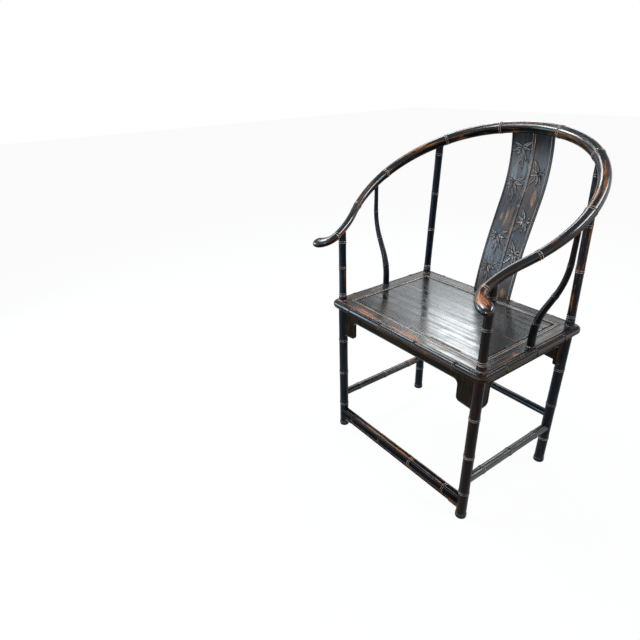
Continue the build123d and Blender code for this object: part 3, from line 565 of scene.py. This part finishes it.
def leg_shape(y, post_nodes, post_rub):
    """A right leg with the post that it turns into above the seat."""
    lean = rail_over(y) - (leg_x, y, seat_top)
    length = np.linalg.norm(lean)
    lean /= length
    nodes = leg_nodes + tuple(seat_top + node for node in post_nodes)
    end = seat_top + length - 4.0
    collar = [(seat_top + rise, diameter) for rise, diameter in collar_outline]
    outline = (*foot_outline, (seat_underside, leg_top_diameter), (seat_underside + 1.0, neck_diameter),
               *collar, (end - 6.0, post_diameter), (end, post_diameter - 2.0))
    along = stations(0, end, nodes, extra=[place for place, diameter in outline])
    added, wear_and_painted_light = carved_nodes(along, nodes)
    widths = np.interp(along, *zip(*outline)) + 2 * added
    collars = bump(along, seat_top + 1.0, 2.0) + 0.8 * bump(along, seat_top + 16.0, 1.4)
    wear_and_painted_light = np.maximum(wear_and_painted_light, collars + 0.5 * bump(along, 12.0, 1.5))
    below = np.minimum(along, seat_top)[:, None] * np.array((0, 0, 1.0)) + (leg_x, y, 0)
    centres = below + np.maximum(along - seat_top, 0)[:, None] * lean
    across = (1.0, 0, 0)
    upward = np.where(along[:, None] < seat_top, (0, 1.0, 0), np.cross(lean, across))
    rubbed = 0.04 + post_rub * smooth(along, seat_top, seat_top + 60.0)[:, None]
    return stick_skin(centres, across, upward, widths, widths, along, wear_and_painted_light, rubbed)


def side_post_shape():
    """The right side post: straight foot, bend out, straight stretch, bend back and straight top."""
    foot, lower, lean_length, upper = 30.0, 200.0, 40.0, 230.0
    both = lower + upper
    top = rail_over(side_post_y)
    shift = top[0] - side_post_x
    lean = acos((both - shift) / hypot(both, lean_length)) - atan2(lean_length, both)
    chain = ((foot, 0.0), (lower * lean, -lean), (lean_length, 0.0), (upper * lean, lean), (1.0, 0.0))
    rise = foot + both * sin(lean) + lean_length * cos(lean)
    end = foot + both * lean + lean_length + (top[2] - seat_top - rise) - 2.0
    outline = (*side_post_collar, *zip(side_post_nodes, side_post_diameters), (end, side_post_top_diameter))
    along = stations(0, end, side_post_nodes, extra=[place for place, diameter in side_post_collar[1:]])
    x, z, angle = follow(chain, (side_post_x, seat_top), pi / 2, along)
    centres = vectors(x, np.full_like(x, side_post_y), z)
    across = vectors(-np.sin(angle), np.zeros_like(x), np.cos(angle))
    added, wear_and_painted_light = carved_nodes(along, side_post_nodes)
    widths = np.interp(along, *zip(*outline)) + 2 * added * 0.9
    wear_and_painted_light = np.maximum(0.6 * wear_and_painted_light, 0.8 * bump(along, 2.0, 1.8))
    return stick_skin(centres, across, (0, 1.0, 0), widths, widths, along, wear_and_painted_light)


def straight_stick(middle, direction, reach, diameter, nodes, rubbed=0.0):
    """A level stick with its ends and nodes at distances from its middle."""
    along = stations(-reach, reach, nodes)
    centres = middle + along[:, None] * np.array(direction)
    added, wear_and_painted_light = carved_nodes(along, nodes)
    widths = diameter + 2 * added
    upward = (0, 0, 1.0)
    return stick_skin(centres, np.cross(direction, upward), upward, widths, widths, along, wear_and_painted_light, rubbed)


def footrest_profile():
    """(forward, up) points round the footrest: round front, quirk, flat top, quirk, small bead and back."""
    profile = arc_points((3.0, -0.5), footrest_nose_radius, -90, 0)
    profile += arc_points((3.0, 0.5), footrest_nose_radius, 0, 84)
    profile += [(2.6, 10.7), (1.6, 10.6), (0.8, 11.2), (-8.2, 11.2), (-8.8, 10.6), (-9.6, 10.6)]
    profile += [(-10.2, 11.2), (-11.4, 11.5), (-13.0, 11.2), (-13.8, 10.0), (-14.0, 8.6)]
    profile += [(-14.0, 0.0), (-14.0, -9.0), (-13.0, -11.0), (-11.0, -11.5), (-4.0, -11.5)]
    return np.array(profile)


def footrest_shape():
    profile = footrest_profile()
    forward, up = profile.T
    reach = leg_x - stretcher_stop
    along = stations(-reach, reach, front_nodes, coarse=8.0)
    added, ridges = carved_nodes(along, front_nodes)
    carved = smooth(forward, -9.5, -8.0)
    section = profile + (added[:, None] * carved)[..., None] * outward_normals(profile)
    out, rise = section[..., 0], section[..., 1]
    x = np.broadcast_to(along[:, None], out.shape)
    near_leg = smooth(np.abs(x), leg_x - 15.0, leg_x - 11.0)
    drawn_in = np.where(out > 0, out * (1 - 0.22 * near_leg), out)
    low_patch = bump(x, 88.0, 50.0) * bump(up, -6.0, 4.5) * (forward > 0)
    # pale lines along the quirk and the back bead, wear with painted highlight, and painted shade on the
    # round front, less where it is rubbed
    lines = bump(forward, 2.6, 0.9) + bump(forward, -11.6, 1.3)
    ground = np.where(up > 9, 1.1 * lines, -0.85 * smooth(forward, 3.5, 6.5)) * (1 - low_patch)
    top = (up > 8) * bump(forward, 0.0, 5.0) * (0.82 + 0.18 * np.cos(x / 90.0))
    rings = vectors(x, footrest_y - drawn_in, footrest_height + rise)
    wear_and_painted_light = over_ground(ridges[:, None] * carved, ground)
    return Skin(rings, vectors(x, out, rise), wear_and_painted_light, 0.03 + 0.46 * top + 0.36 * low_patch)


# ------------------------ seat frame and panel

frame_top = (
    # distance in from the edge, depth under the top: quirk, flat, groove, inner bead and rounded edge
    (12.2, 0.5), (12.9, 1.1), (13.7, 1.1), (14.5, 0.6), (20.0, 0.5), (28.0, 0.5), (36.0, 0.5), (44.4, 0.6),
    (45.1, 1.4), (45.9, 1.4), (46.6, 0.7), (47.8, 0.2), (49.6, 0.0), (52.4, 0.0), (54.2, 0.2), (55.3, 0.7),
    (56.0, 1.4), (57.2, 1.5), (member_width, 2.0),
)


def frame_profile():
    """(distance in from the edge, height) points round a member of the seat frame."""
    nose = arc_points((0, seat_underside + nose_radius), nose_radius, -90, 0, 8)
    nose += arc_points((0, seat_top - nose_radius), nose_radius, 0, 86, 11)
    profile = [(nose_radius - out, height) for out, height in nose]
    profile += [(inset, seat_top - depth) for inset, depth in frame_top]
    profile += [(member_width, seat_underside + 9.0), (member_width, seat_underside), (40.0, seat_underside)]
    return np.array(profile)


def frame_wear(inset, height):
    """Wear and painted highlight of the frame's edges and beads, less the painted shade in its grooves and
    hollows and on its nose.
    """
    # pale lines along the inner bead: wear with painted highlight
    beads = 1.3 * (bump(inset, 47.7, 0.7) + bump(inset, 54.3, 0.7)) * (height > seat_top - 1.0)
    low_edge = 0.85 * bump(height, seat_underside + 1.0, 1.3) * (inset < nose_radius + 1.0)
    # painted shade in the two grooves and along the middle of the inner bead, and on the nose
    groove_shade = bump(inset, 45.4, 0.7) + bump(inset, 57.0, 1.0) + 0.5 * bump(inset, 51.0, 1.2)
    return beads + 0.8 * bump(inset, 12.2, 0.7) + low_edge - groove_shade - 0.55 * bump(inset, 5.0, 4.5)


def member_shape(half_length, half_across, nodes, rubbed_of, place):
    """A mitred member of the seat frame. place turns (along, outward) into (x, y)."""
    profile = frame_profile()
    inset, height = profile.T
    normal_in, normal_up = outward_normals(profile).T
    on_nose = smooth(-inset, -12.6, -12.0)
    on_top = 1.0 * (height > 470)
    straight = half_length - corner_radius
    deep = np.maximum(inset, corner_radius)
    radius = np.maximum(corner_radius - inset, 0)

    def corner_rows(sign):
        """Rows round a corner to its mitre, where the last one sinks a little."""
        angles = np.radians(np.linspace(0, 45, 9)[1:])
        for angle, trim, sink in [(angle, 0.6, 0.0) for angle in angles] + [(angles[-1], 0.1, 0.3)]:
            u = half_length - deep + radius * sin(angle) - trim
            v = half_across - deep + radius * cos(angle)
            yield sign * u, v - sink * on_top * normal_in, height - sink * on_top * np.abs(normal_up)

    middle = stations(-straight, straight, nodes, coarse=8.0)
    added, ridges = carved_nodes(middle, nodes)
    rows = list(corner_rows(-1))[::-1]
    for u, add in zip(middle, added):
        shift = add * on_nose
        rows.append((u * (half_length - deep) / straight, half_across - inset - shift * normal_in,
                     height + shift * normal_up))
    rows += corner_rows(1)
    u, v, z = np.array(rows).transpose(1, 0, 2)
    ridges = np.pad(ridges, (len(rows) - len(middle)) // 2)[:, None]
    wear_and_painted_light = over_ground(0.6 * ridges * on_nose, frame_wear(inset, height))
    return Skin(vectors(*place(u, v), z), vectors(u, v, z), wear_and_painted_light, rubbed_of(u, inset[None]))


def front_rub(along, inset):
    """The front edge is rubbed through along its quirk, most at the left and in the middle."""
    strip = bump(inset, 16.0, 6.0) * (0.14 + 0.18 * (1 - smooth(along, -70, 60)))
    return 0.03 + strip + patches(along, inset, ((0.44, -152, 64, 24, 12), (0.52, 35, 60, 22, 11)))


def right_rub(along, inset):
    """The side edges have a light strip along the quirk and one rubbed spot."""
    return 0.06 + 0.08 * bump(inset, 16, 6) + patches(along, inset, ((0.5, -62, 16, 26, 7),))


def plain_rub(along, inset):
    return 0.04 + 0.1 * bump(inset, 22, 10) + 0 * along


def panel_shape():
    """The floating panel, with tongues on its four edges and a softened rim."""
    half_x = half_seat_width - member_width - panel_gap
    half_y = half_seat_depth - member_width - panel_gap
    top = seat_top - panel_drop
    bottom = top - panel_thickness
    tongue_top = bottom + panel_tongue_thickness
    tongue_x, tongue_y = half_x + panel_tongue_width, half_y + panel_tongue_width
    rim_height = top - panel_rim
    half_ring = [(tongue_y, bottom), (tongue_y, tongue_top), (half_y, tongue_top), (half_y, rim_height)]
    flat = [(y, top) for y in np.linspace(-half_y + 1.0, half_y - 1.0, 56)]
    ring_y, ring_height = np.array([(-y, height) for y, height in half_ring] + flat + half_ring[::-1]).T
    inner = np.linspace(-half_x + 1.0, half_x - 1.0, 84)
    x = np.concatenate([[-tongue_x, -half_x - 0.02, -half_x], inner, [half_x, half_x + 0.02, tongue_x]])
    limit = np.where(np.abs(x) > half_x - 0.5, rim_height, top)
    limit = np.where(np.abs(x) > half_x + 0.01, tongue_top, limit)
    x, y = np.broadcast_arrays(x[:, None], ring_y)
    z = np.minimum(ring_height, limit[:, None])
    wave = 0.05 * np.sin(x / 90.0 + 0.6) * np.sin(y / 31.0) + 0.05 * np.sin(y / 6.1 + x / 260.0)
    z = z - np.where(z >= top - 0.01, 0.1 + wave, 0.0)
    rubbed = patches(x, y, ((0.10, -120, 90, -110, 45), (0.15, 185, 50, -40, 75)))
    grain_shift = 55.0  # puts the streaks where the photograph shows them
    return Skin(vectors(x, y, z), vectors(x, y + grain_shift, z), 0.0, rubbed)


# ------------------------ aprons and spandrels

def rounded(corners):
    """An outline of (x, y, radius, free) corners as points, each with whether the edge after it is free."""
    points = []
    for number, (x, y, radius, free) in enumerate(corners):
        here = np.array((x, y))
        before = unit(corners[number - 1][:2] - here)
        after = unit(corners[(number + 1) % len(corners)][:2] - here)
        if not radius:
            points.append((here, free))
            continue
        half_angle = acos(np.clip(before @ after, -1, 1)) / 2
        middle = here + unit(before + after) * radius / sin(half_angle)
        first = here + before * radius / tan(half_angle) - middle
        last = here + after * radius / tan(half_angle) - middle
        angle = atan2(first[1], first[0])
        turn = atan2(first[0] * last[1] - first[1] * last[0], first @ last)
        for spot in angle + turn * np.linspace(0, 1, 10):
            points.append((middle + radius * np.array((cos(spot), sin(spot))), free))
    return points


def inset_outline(points, amount):
    """The outline moved in by an amount along its free edges only."""
    places = np.array([point for point, free in points])
    free = np.array([flag for point, flag in points], float)
    edge = unit(np.roll(places, -1, 0) - places)
    normal = vectors(-edge[:, 1], edge[:, 0]) * winding(places)
    moved = []
    for number, place in enumerate(places):
        first, second = normal[number - 1], normal[number]
        distances = amount * np.array((free[number - 1], free[number]))
        matrix = np.array((first, second))
        if abs(np.linalg.det(matrix)) < 0.02:
            moved.append(place + (first + second) / 2 * distances.mean())
        else:
            moved.append(place + np.linalg.solve(matrix, distances))
    return np.array(moved)


back_bevel = 0.6
bead_steps = (
    # inset from the free edge, depth under the board's face
    (0.0, 1.3), (0.5, 0.4), (1.4, 0.0), (2.3, 0.35), (2.8, 1.15), (3.5, 1.25), (4.4, 0.7),
)


def board_shape(corners, place, base=seat_underside, thickness=apron_thickness, upright_grain=False):
    """A board with a small bead along its free edges. Its corners are (along, up from base, radius, free),
    and place turns (along, out) into (x, y)."""
    points = rounded(corners)
    half = thickness / 2
    rows = [(back_bevel, -half, 0.0), (0.0, back_bevel - half, 0.35)]
    rows += [(inset, half - depth, 0.62 * bump(inset, 1.2, 0.9)) for inset, depth in bead_steps]
    along, up = np.array([inset_outline(points, inset) for inset, out, wear_and_painted_light in rows]).transpose(2, 0, 1)
    out = np.array([out for inset, out, wear_and_painted_light in rows])[:, None] * np.ones(along.shape[1])
    wear_and_painted_light = np.array([wear_and_painted_light for inset, out, wear_and_painted_light in rows])[:, None]
    grain = vectors(up, along, out) if upright_grain else vectors(along, up, out)
    return Skin(vectors(*place(along, out), base + up), grain, wear_and_painted_light, 0.05)


def spandrel_corners(reach, depth):
    """The spandrel's outline: x from the leg's centre, y from the underside of the seat frame."""
    root, toe = (8.0, -96.4), -92.0
    seam = reach + spandrel_seam - joint_clearance
    return ((root[0], apron_tongue, 0, False), (seam, apron_tongue, 0, False), (seam, -depth, 0, True),
            (reach, -depth, 14.0, True), (reach, toe, 13.0, True), (*root, 0, False))


def apron_corners(half_length, depth):
    return ((-half_length, apron_tongue, 0, False), (half_length, apron_tongue, 0, False),
            (half_length, -depth, 0, True), (-half_length, -depth, 0, False))


def footrest_apron_corners():
    """The small apron's outline, whose lower edge is deeper at its two ends."""
    end, step, tongue = leg_x - 10.0, leg_x - 45.0, 3.0
    low, high = -footrest_apron_drop, -footrest_apron_depth
    return ((-end, tongue, 0, False), (end, tongue, 0, False), (end, low, 0, True), (step, low, 3.0, True),
            (step, high, 5.8, True), (-step, high, 5.8, True), (-step, low, 3.0, True), (-end, low, 0, False))


# ------------------------ back splat

stalk_nodes = (80.0, 183.0, 277.0, 386.0)
stalk_half_width = 5.6
# branches of the carved bamboo: where each leaves the stalk and where its cluster of leaves sits
branches = (
    (3, 386, -28, 438), (9, 318, 34, 370), (6, 277, -35, 339), (4, 183, 37, 234),
    (2, 130, -34, 180), (4, 78, 39, 137), (3, 30, -36, 84),
)
# leaves of a cluster: degrees clockwise from upward on the right-hand side, length, width, bend
drooping_leaves = (
    (52, 30, 8.5, 0.4), (-48, 38, 9.0, -0.6), (-80, 28, 8.5, -0.9), (92, 33, 8.5, 0.9), (132, 25, 7.0, 0.4),
    (172, 42, 8.5, 0.15), (190, 58, 9.0, -0.1), (212, 40, 7.0, -0.3),
)
spray_leaves = (
    (-14, 42, 12.0, -0.5), (-48, 27, 8.0, -0.4), (38, 24, 7.5, 0.4), (74, 24, 8.0, 0.3), (108, 18, 7.0, 0.5),
    (143, 30, 9.0, 0.2), (-140, 58, 12.0, 0.12), (174, 30, 8.0, 0.0), (-96, 24, 7.0, -0.3),
)
clusters = {1: spray_leaves, -1: drooping_leaves}
splat_patches = (
    # strength, middle and half width across, middle and half length up the splat
    (0.5, 42, 9, 305, 26), (0.34, 36, 10, 452, 34), (0.42, -40, 8, 236, 16), (0.45, -57, 6, 62, 14),
    (0.5, 38, 9, 20, 12), (0.36, -20, 14, 245, 45),
)


def carve_leaf(w, s, base, degrees, length, width, bend):
    """Distances outwards from a leaf's outline in millimetres, and the leaf's half width at each place."""
    angle = radians(degrees)
    dw, ds = w - base[0], s - base[1]
    u = (dw * sin(angle) + ds * cos(angle)) / length
    v = dw * cos(angle) - ds * sin(angle) - bend * length * 0.35 * u * u
    half = width / 2 * np.sin(np.pi * np.clip(u, 0.001, 0.999) ** 0.72) + 0.01
    beyond = np.maximum(np.maximum(-u, u - 1), 0) * length
    return np.hypot(np.abs(v), beyond) - half, half


def carve_branches(w, s):
    """Height, wear with painted highlight, and the painted shadow round the twigs and leaves, each leaf over
    those before it.
    """
    height, wear_and_painted_light, painted_shade = (np.zeros_like(w) for layer in range(3))
    for w0, s0, w1, s1 in branches:
        share = np.clip((s - s0) / (s1 - s0), 0, 1)
        line = w0 + (w1 - w0) * share ** 1.3 + 1.3 * np.sin(share * 9.0)
        off = np.hypot(w - line, np.minimum(s - s0, 0) + np.maximum(s - s1, 0))
        twig = smooth(-off, -1.7, -0.7)
        height = np.maximum(height, 0.75 * twig)
        wear_and_painted_light = np.maximum(wear_and_painted_light, 0.7 * twig)
        side = 1 if w1 > 0 else -1
        for degrees, reach, width, bend in clusters[side]:
            out, half = carve_leaf(w, s, (w1, s1), side * degrees, reach, width, side * bend)
            inside = smooth(-out, -0.1, 0.7)
            hollow = smooth(-out / half, 0.3, 0.9)
            # a band of painted shadow round the outside of each leaf, and pale rims inside it that are wear
            # and painted highlight
            under = bump(out, 0.8, 1.0) * (out > 0)
            painted_shade = np.maximum(painted_shade * (1 - inside), under)
            height = np.maximum(height * (1 - under), inside * (1 - 0.45 * hollow))
            wear_and_painted_light = np.maximum(wear_and_painted_light * (1 - under), inside * (0.94 - 0.65 * smooth(-out, 1.1, 2.3)))
    return height, wear_and_painted_light, painted_shade


def splat_relief(w, s):
    """Height of the carving over its ground and the wear of its rims, with painted highlight, at places
    across and up the splat. Values under 0 are painted shade in the corners of the ground, in the border's
    hollow and towards the top under the rail."""
    height, wear_and_painted_light, painted_shade = carve_branches(w, s)

    # the stalk, which widens at its nodes, lies over the branches
    half, ring = stalk_half_width, np.zeros_like(s)
    for node in stalk_nodes:
        half = half + 1.1 * bump(s, node, 3.0)
        ring = np.maximum(ring, bump(np.abs(s - node), 1.9, 0.9))
    inward = half - np.abs(w - 4.5 - 2.6 * np.sin(s / 62.0))
    stalk = smooth(inward, 0.0, 1.1)
    rim = stalk * (1 - smooth(inward, 1.4, 2.6))
    # painted shade along both sides of the stalk
    stalk_shade = bump(inward, -0.9, 1.0) * (inward < 0)
    painted_shade = np.maximum(painted_shade * (1 - stalk), stalk_shade)
    height = np.maximum(height * (1 - smooth(inward, -0.8, 0.2)), stalk * (0.95 + 0.25 * ring) + 0.2 * rim)
    wear_and_painted_light = np.maximum(wear_and_painted_light * (1 - stalk) * (1 - stalk_shade), np.maximum(0.8 * rim, 0.8 * ring * stalk))

    # the border along both sides, with a hollow in it; the pale line inside its right edge is a painted
    # highlight, the one along its left edge is wear, and the hollow and the top under the rail get painted
    # shade
    aside = np.abs(w)
    field = 1 - smooth(aside, 57.5, 59.0)
    border = smooth(aside, 59.6, 60.6) * 1.1 - 0.5 * bump(aside, 62.6, 0.6)
    height = np.maximum(height * field, border * (1 - smooth(aside, 65.3, 66.3)))
    wear_and_painted_light = np.maximum(wear_and_painted_light * field, 1.2 * bump(w, 61.0, 0.9) + 0.8 * bump(w, -65.4, 1.0))
    painted_shade = painted_shade * field + 0.9 * bump(aside, 62.9, 0.8) + 0.85 * smooth(s, 370, 500)
    return height, wear_and_painted_light - np.where(wear_and_painted_light < 0.3, painted_shade, 0.0)


def splat_chain():
    """The splat's middle line as (length, turn) pairs in the plane of depth and height."""
    bend = splat_middle_lean - splat_foot_lean
    chain = [(splat_lower_radius * bend, -bend)]
    y, z, angle = follow(chain, (splat_foot_y, seat_top), pi / 2 - splat_foot_lean, [chain[0][0]])[:, 0]
    top = rail_line(np.array([0.0]))[0][0] + (0, splat_top_setback, 0)
    ahead = np.array((top[1] - y, top[2] - z))
    heading = np.array((cos(angle), sin(angle)))
    aside = ahead @ np.array((-heading[1], heading[0]))
    bend = acos(1 - aside / splat_upper_radius)
    chain.append((ahead @ heading - splat_upper_radius * sin(bend), 0.0))
    chain.append((splat_upper_radius * bend, bend))
    return chain


def splat_shape():
    """The curved splat: carved in front and plain behind, with rounded edges at its back."""
    chain = splat_chain()
    along = np.linspace(0, sum(length for length, turn in chain), 520)
    y, z, angle = follow(chain, (splat_foot_y, seat_top), pi / 2 - splat_foot_lean, along)
    across = np.linspace(-splat_half_width, splat_half_width, 149)
    s, w = np.meshgrid(along, across, indexing="ij")
    height, wear_and_painted_light = splat_relief(w, s)
    front = splat_half_thickness - carving_depth + carving_height * height
    front = np.where(np.abs(w) > splat_half_width - 0.01, splat_half_thickness - 1.6, front)
    half_back = [(splat_half_width, 0.0), (splat_half_width, 0.9 - splat_half_thickness)]
    half_back += [(place, -splat_half_thickness) for place in (splat_half_width - 1.0, 40.0, 15.0)]
    back = np.array(half_back + [(-place, out) for place, out in reversed(half_back)])
    rows = (len(along), 1)
    w = np.concatenate([w, np.tile(back[:, 0], rows)], 1)
    out = np.concatenate([front, np.tile(back[:, 1], rows)], 1)
    # the plain back is made darker and duller
    wear_and_painted_light = np.pad(wear_and_painted_light, ((0, 0), (0, len(back))), constant_values=-0.55)
    s = np.broadcast_to(along[:, None], w.shape)
    rings = vectors(w, y[:, None] - out * np.sin(angle)[:, None], z[:, None] + out * np.cos(angle)[:, None])
    rubbed = 0.05 + 0.40 * bump(w, 5, 5.5) + patches(w, s, splat_patches)
    return Skin(rings, vectors(s, w, out), wear_and_painted_light, rubbed)


# ------------------------ putting the pieces in place

front_leg = leg_shape(-leg_y, front_post_nodes, 0.12)
rear_legs = {1: leg_shape(leg_y, rear_post_nodes, 0.24), -1: leg_shape(leg_y, rear_post_nodes, 0.10)}
shoulder = rail_section(back_lap[0], arm_lap[1], shoulder_rub, lower_to=back_lap[1], upper_from=arm_lap[0])
arms = {1: rail_section(arm_lap[0], rail_end, arm_rub, lower_to=arm_lap[1]),
        -1: rail_section(arm_lap[0], rail_end, left_arm_rub, lower_to=arm_lap[1])}
back = rail_section(-back_lap[1], back_lap[1], back_rub, upper_from=back_lap[0])
side_post = side_post_shape()
side_stretcher = straight_stick(
    (leg_x, 0, side_stretcher_height), (0, 1.0, 0), leg_y - stretcher_stop, side_stretcher_diameter,
    side_stretcher_nodes, 0.12)
rear_stretcher = straight_stick(
    (0, leg_y, rear_stretcher_height), (1.0, 0, 0), leg_x - stretcher_stop, rear_stretcher_diameter, ())
right_member = member_shape(half_seat_depth, half_seat_width, side_nodes, right_rub, lambda u, v: (v, u))
front_member = member_shape(half_seat_width, half_seat_depth, front_nodes, front_rub, lambda u, v: (u, -v))
rear_member = member_shape(half_seat_width, half_seat_depth, front_nodes, plain_rub, lambda u, v: (u, v))
front_spandrel = board_shape(
    spandrel_corners(spandrel_reach, apron_depth), lambda along, out: (leg_x - along, -leg_y - out),
    upright_grain=True)
side_spandrel = board_shape(
    spandrel_corners(side_spandrel_reach, side_apron_depth), lambda along, out: (leg_x + out, along - leg_y),
    upright_grain=True)
front_apron = board_shape(
    apron_corners(leg_x - spandrel_reach - spandrel_seam, apron_depth),
    lambda along, out: (along, -leg_y - out))
side_apron = board_shape(
    apron_corners(leg_y - side_spandrel_reach - spandrel_seam, side_apron_depth),
    lambda along, out: (leg_x + out, along))
footrest_apron = board_shape(
    footrest_apron_corners(), lambda along, out: (along, footrest_y - out), footrest_underside,
    footrest_apron_thickness)

for name, sign, leg_material, post_material in (
    ("right", 1, "warm_stick_lacquer", "post_lacquer"),
    ("left", -1, "blue_sheen_stick_lacquer", "blue_sheen_stick_lacquer"),
):
    for node, shape, material in (
        ("leg_front_", front_leg, leg_material), ("leg_rear_", rear_legs[sign], "blue_sheen_stick_lacquer"),
        ("crest_rail_", shoulder, "rail_lacquer"), ("arm_", arms[sign], "rail_lacquer"),
        ("side_post_", side_post, post_material), ("stretcher_", side_stretcher, "stretcher_lacquer"),
        ("seat_rail_", right_member, "frame_lacquer"), ("apron_", side_apron, "board_lacquer"),
    ):
        make_piece(node + name, shape, material, (sign, 1))
    for end, turn in (("front", 1), ("rear", -1)):
        make_piece(f"spandrel_{end}_{name}", front_spandrel, "board_lacquer", (sign, turn))
        make_piece(f"spandrel_{name}_{end}", side_spandrel, "board_lacquer", (sign, turn))
for piece in (
    ("crest_rail_centre", back, "rail_lacquer"), ("seat_rail_front", front_member, "frame_lacquer"),
    ("seat_rail_rear", rear_member, "frame_lacquer"), ("apron_front", front_apron, "board_lacquer"),
    ("apron_rear", front_apron, "board_lacquer", (1, -1)), ("footrest", footrest_shape(), "footrest_lacquer"),
    ("footrest_apron", footrest_apron, "apron_lacquer"),
    ("stretcher_rear", rear_stretcher, "blue_sheen_stick_lacquer"),
    ("seat_panel", panel_shape(), "panel_lacquer", (1, 1), "panel_lacquer"),
    ("back_splat", splat_shape(), "splat_lacquer", (1, 1), "splat_lacquer"),
):
    make_piece(*piece)

for node, material in (("seat_batten_left", "bare_wood"), ("seat_batten_right", "bare_wood"),
                       ("frame_pegs", "bare_wood"), ("scarf_pegs", "peg_lacquer")):
    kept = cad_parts[node].data
    kept.materials.clear()
    kept.materials.append(materials[material])

# ------------------------ camera

lens_pixels, frame_pixels, sensor = 491.745, 640.0, 36.0
axis_x_pixel, axis_y_pixel = 323.62, 340.89  # where the lens axis meets the picture
camera_place = Vector((0.8658, -1.0637 + middle_y, 1.1269))  # metres
forward = Vector((-0.719, 0.503, -0.480)).normalized()
right = Vector((0.5736, 0.8192, 0.0)).normalized()
up = right.cross(forward)
roll = radians(-2.0)
camera_right = cos(roll) * right + sin(roll) * up
camera_up = cos(roll) * up - sin(roll) * right
camera_data = bpy.data.cameras.new("camera")
camera = add_object("camera", camera_data)
axes = Matrix((camera_right, camera_up, -forward)).transposed()
camera.matrix_world = Matrix.Translation(camera_place) @ axes.to_4x4()
camera_data.sensor_width = sensor
camera_data.lens = lens_pixels / frame_pixels * sensor
camera_data.shift_x = (frame_pixels / 2 - axis_x_pixel) / frame_pixels
camera_data.shift_y = (axis_y_pixel - frame_pixels / 2) / frame_pixels
camera_data.clip_start = 0.05
bpy.context.scene.camera = camera

# ------------------------ lamps

seat_spot = (0.0, middle_y, seat_top * metres)
lamps = (
    # name, azimuth from +X towards +Y, elevation, distance from the seat, width, height, radiance, tint
    ("back_window", 132, 24, 2.9, 1.05, 0.55, 1.7, (0.90, 0.96, 1.0)),
    ("side_pane", 108, 29, 2.6, 0.4, 0.5, 2.6, (0.95, 0.98, 1.0)),
    ("back_pane", 127, 33, 2.7, 0.6, 0.68, 9.0, (0.92, 0.97, 1.0)),
    ("high_pane", 153, 48, 2.4, 0.55, 0.6, 11.0, (0.92, 0.97, 1.0)),
    ("left_window", 214, 50, 2.4, 1.4, 0.5, 17.0, (0.86, 0.94, 1.0)),
    ("right_window", 37, 44, 2.4, 1.7, 0.5, 12.0, (0.92, 0.96, 1.0)),
    ("front_window", 218, 9, 2.3, 0.9, 0.8, 10.0, (0.58, 0.79, 1.0)),
    ("near_window", 284, 10, 2.4, 0.25, 0.7, 16.0, (1.0, 0.99, 0.97)),
)


def around_seat(azimuth, elevation, distance):
    """A place at a distance from the middle of the seat, in metres."""
    turn, lift = radians(azimuth), radians(elevation)
    flat = distance * cos(lift)
    height = seat_top * metres + distance * sin(lift)
    return (flat * cos(turn), flat * sin(turn) + middle_y, height)


def lamp(name, place, width, height, radiance, tint):
    """A soft rectangular lamp that faces the seat. Its power follows from its size and radiance."""
    data = bpy.data.lights.new(name, "AREA")
    data.shape = "RECTANGLE"
    data.size, data.size_y = width, height
    data.energy = radiance * pi * width * height
    data.color = tint
    light = add_object(name, data)
    light.location = place
    light.rotation_euler = (Vector(seat_spot) - Vector(place)).to_track_quat("-Z", "Y").to_euler()
    light.visible_camera = False


for name, azimuth, elevation, distance, *looks in lamps:
    lamp(name, around_seat(azimuth, elevation, distance), *looks)
lamp("low_window", (-0.55, middle_y - 1.35, 0.2), 0.4, 0.34, 8.0, (0.40, 0.69, 1.0))


# ------------------------ floor and backdrop

def seen_share(nodes):
    """1 for rays from the camera and for mirror images and clear surfaces, else 0."""
    seen = nodes.add("LightPath", {}, "Is Camera Ray")
    for ray in ("Is Glossy Ray", "Is Transmission Ray"):
        seen = nodes.maths("MAXIMUM", seen, nodes.add("LightPath", {}, ray))
    return seen


def wall_and_ceiling(nodes):
    """White all round for the camera, and white walls under a dim ceiling for mirror images."""
    height = nodes.add("SeparateXYZ", {0: nodes.add("TexCoord", {}, "Generated")}, "Z")
    room = nodes.mix(nodes.ramp(height, 0.20, 0.36), white, (0.22, 0.24, 0.26))
    return nodes.mix(nodes.add("LightPath", {}, "Is Camera Ray"), room, white)


def light_backdrop():
    """The world: a room for the camera and for mirror images, and dim even light for all else."""
    world = bpy.data.worlds.new("studio")
    bpy.context.scene.world = world
    nodes = Nodes(world)
    shade = nodes.mix(seen_share(nodes), (0.20, 0.21, 0.22), wall_and_ceiling(nodes))
    nodes.show(nodes.add("Background", {"Color": shade, "Strength": 1.0}), "OutputWorld")


def floor_paint():
    """Near white for the camera and for mirror images, and grey for the light that it sends back."""
    material = bpy.data.materials.new("floor")
    nodes = Nodes(material)
    seen = seen_share(nodes)
    lit = nodes.add("BsdfDiffuse", {"Color": nodes.mix(seen, (0.42, 0.42, 0.42), (0.95, 0.95, 0.95))})
    pale = nodes.add("Emission", {"Color": white, "Strength": 1.0})
    nodes.show(nodes.add("MixShader", {0: nodes.times(seen, 0.95), 1: lit, 2: pale}))
    return material


def lay_floor():
    reach = 12.0  # metres
    mesh = bpy.data.meshes.new("floor")
    corners = [(-reach, -reach, 0), (reach, -reach, 0), (reach, reach, 0), (-reach, reach, 0)]
    mesh.from_pydata(corners, [], [(0, 1, 2, 3)])
    mesh.materials.append(floor_paint())
    floor = add_object("floor", mesh)


light_backdrop()
lay_floor()
bpy.context.scene.view_settings.view_transform = "Standard"

bpy.context.view_layer.update()
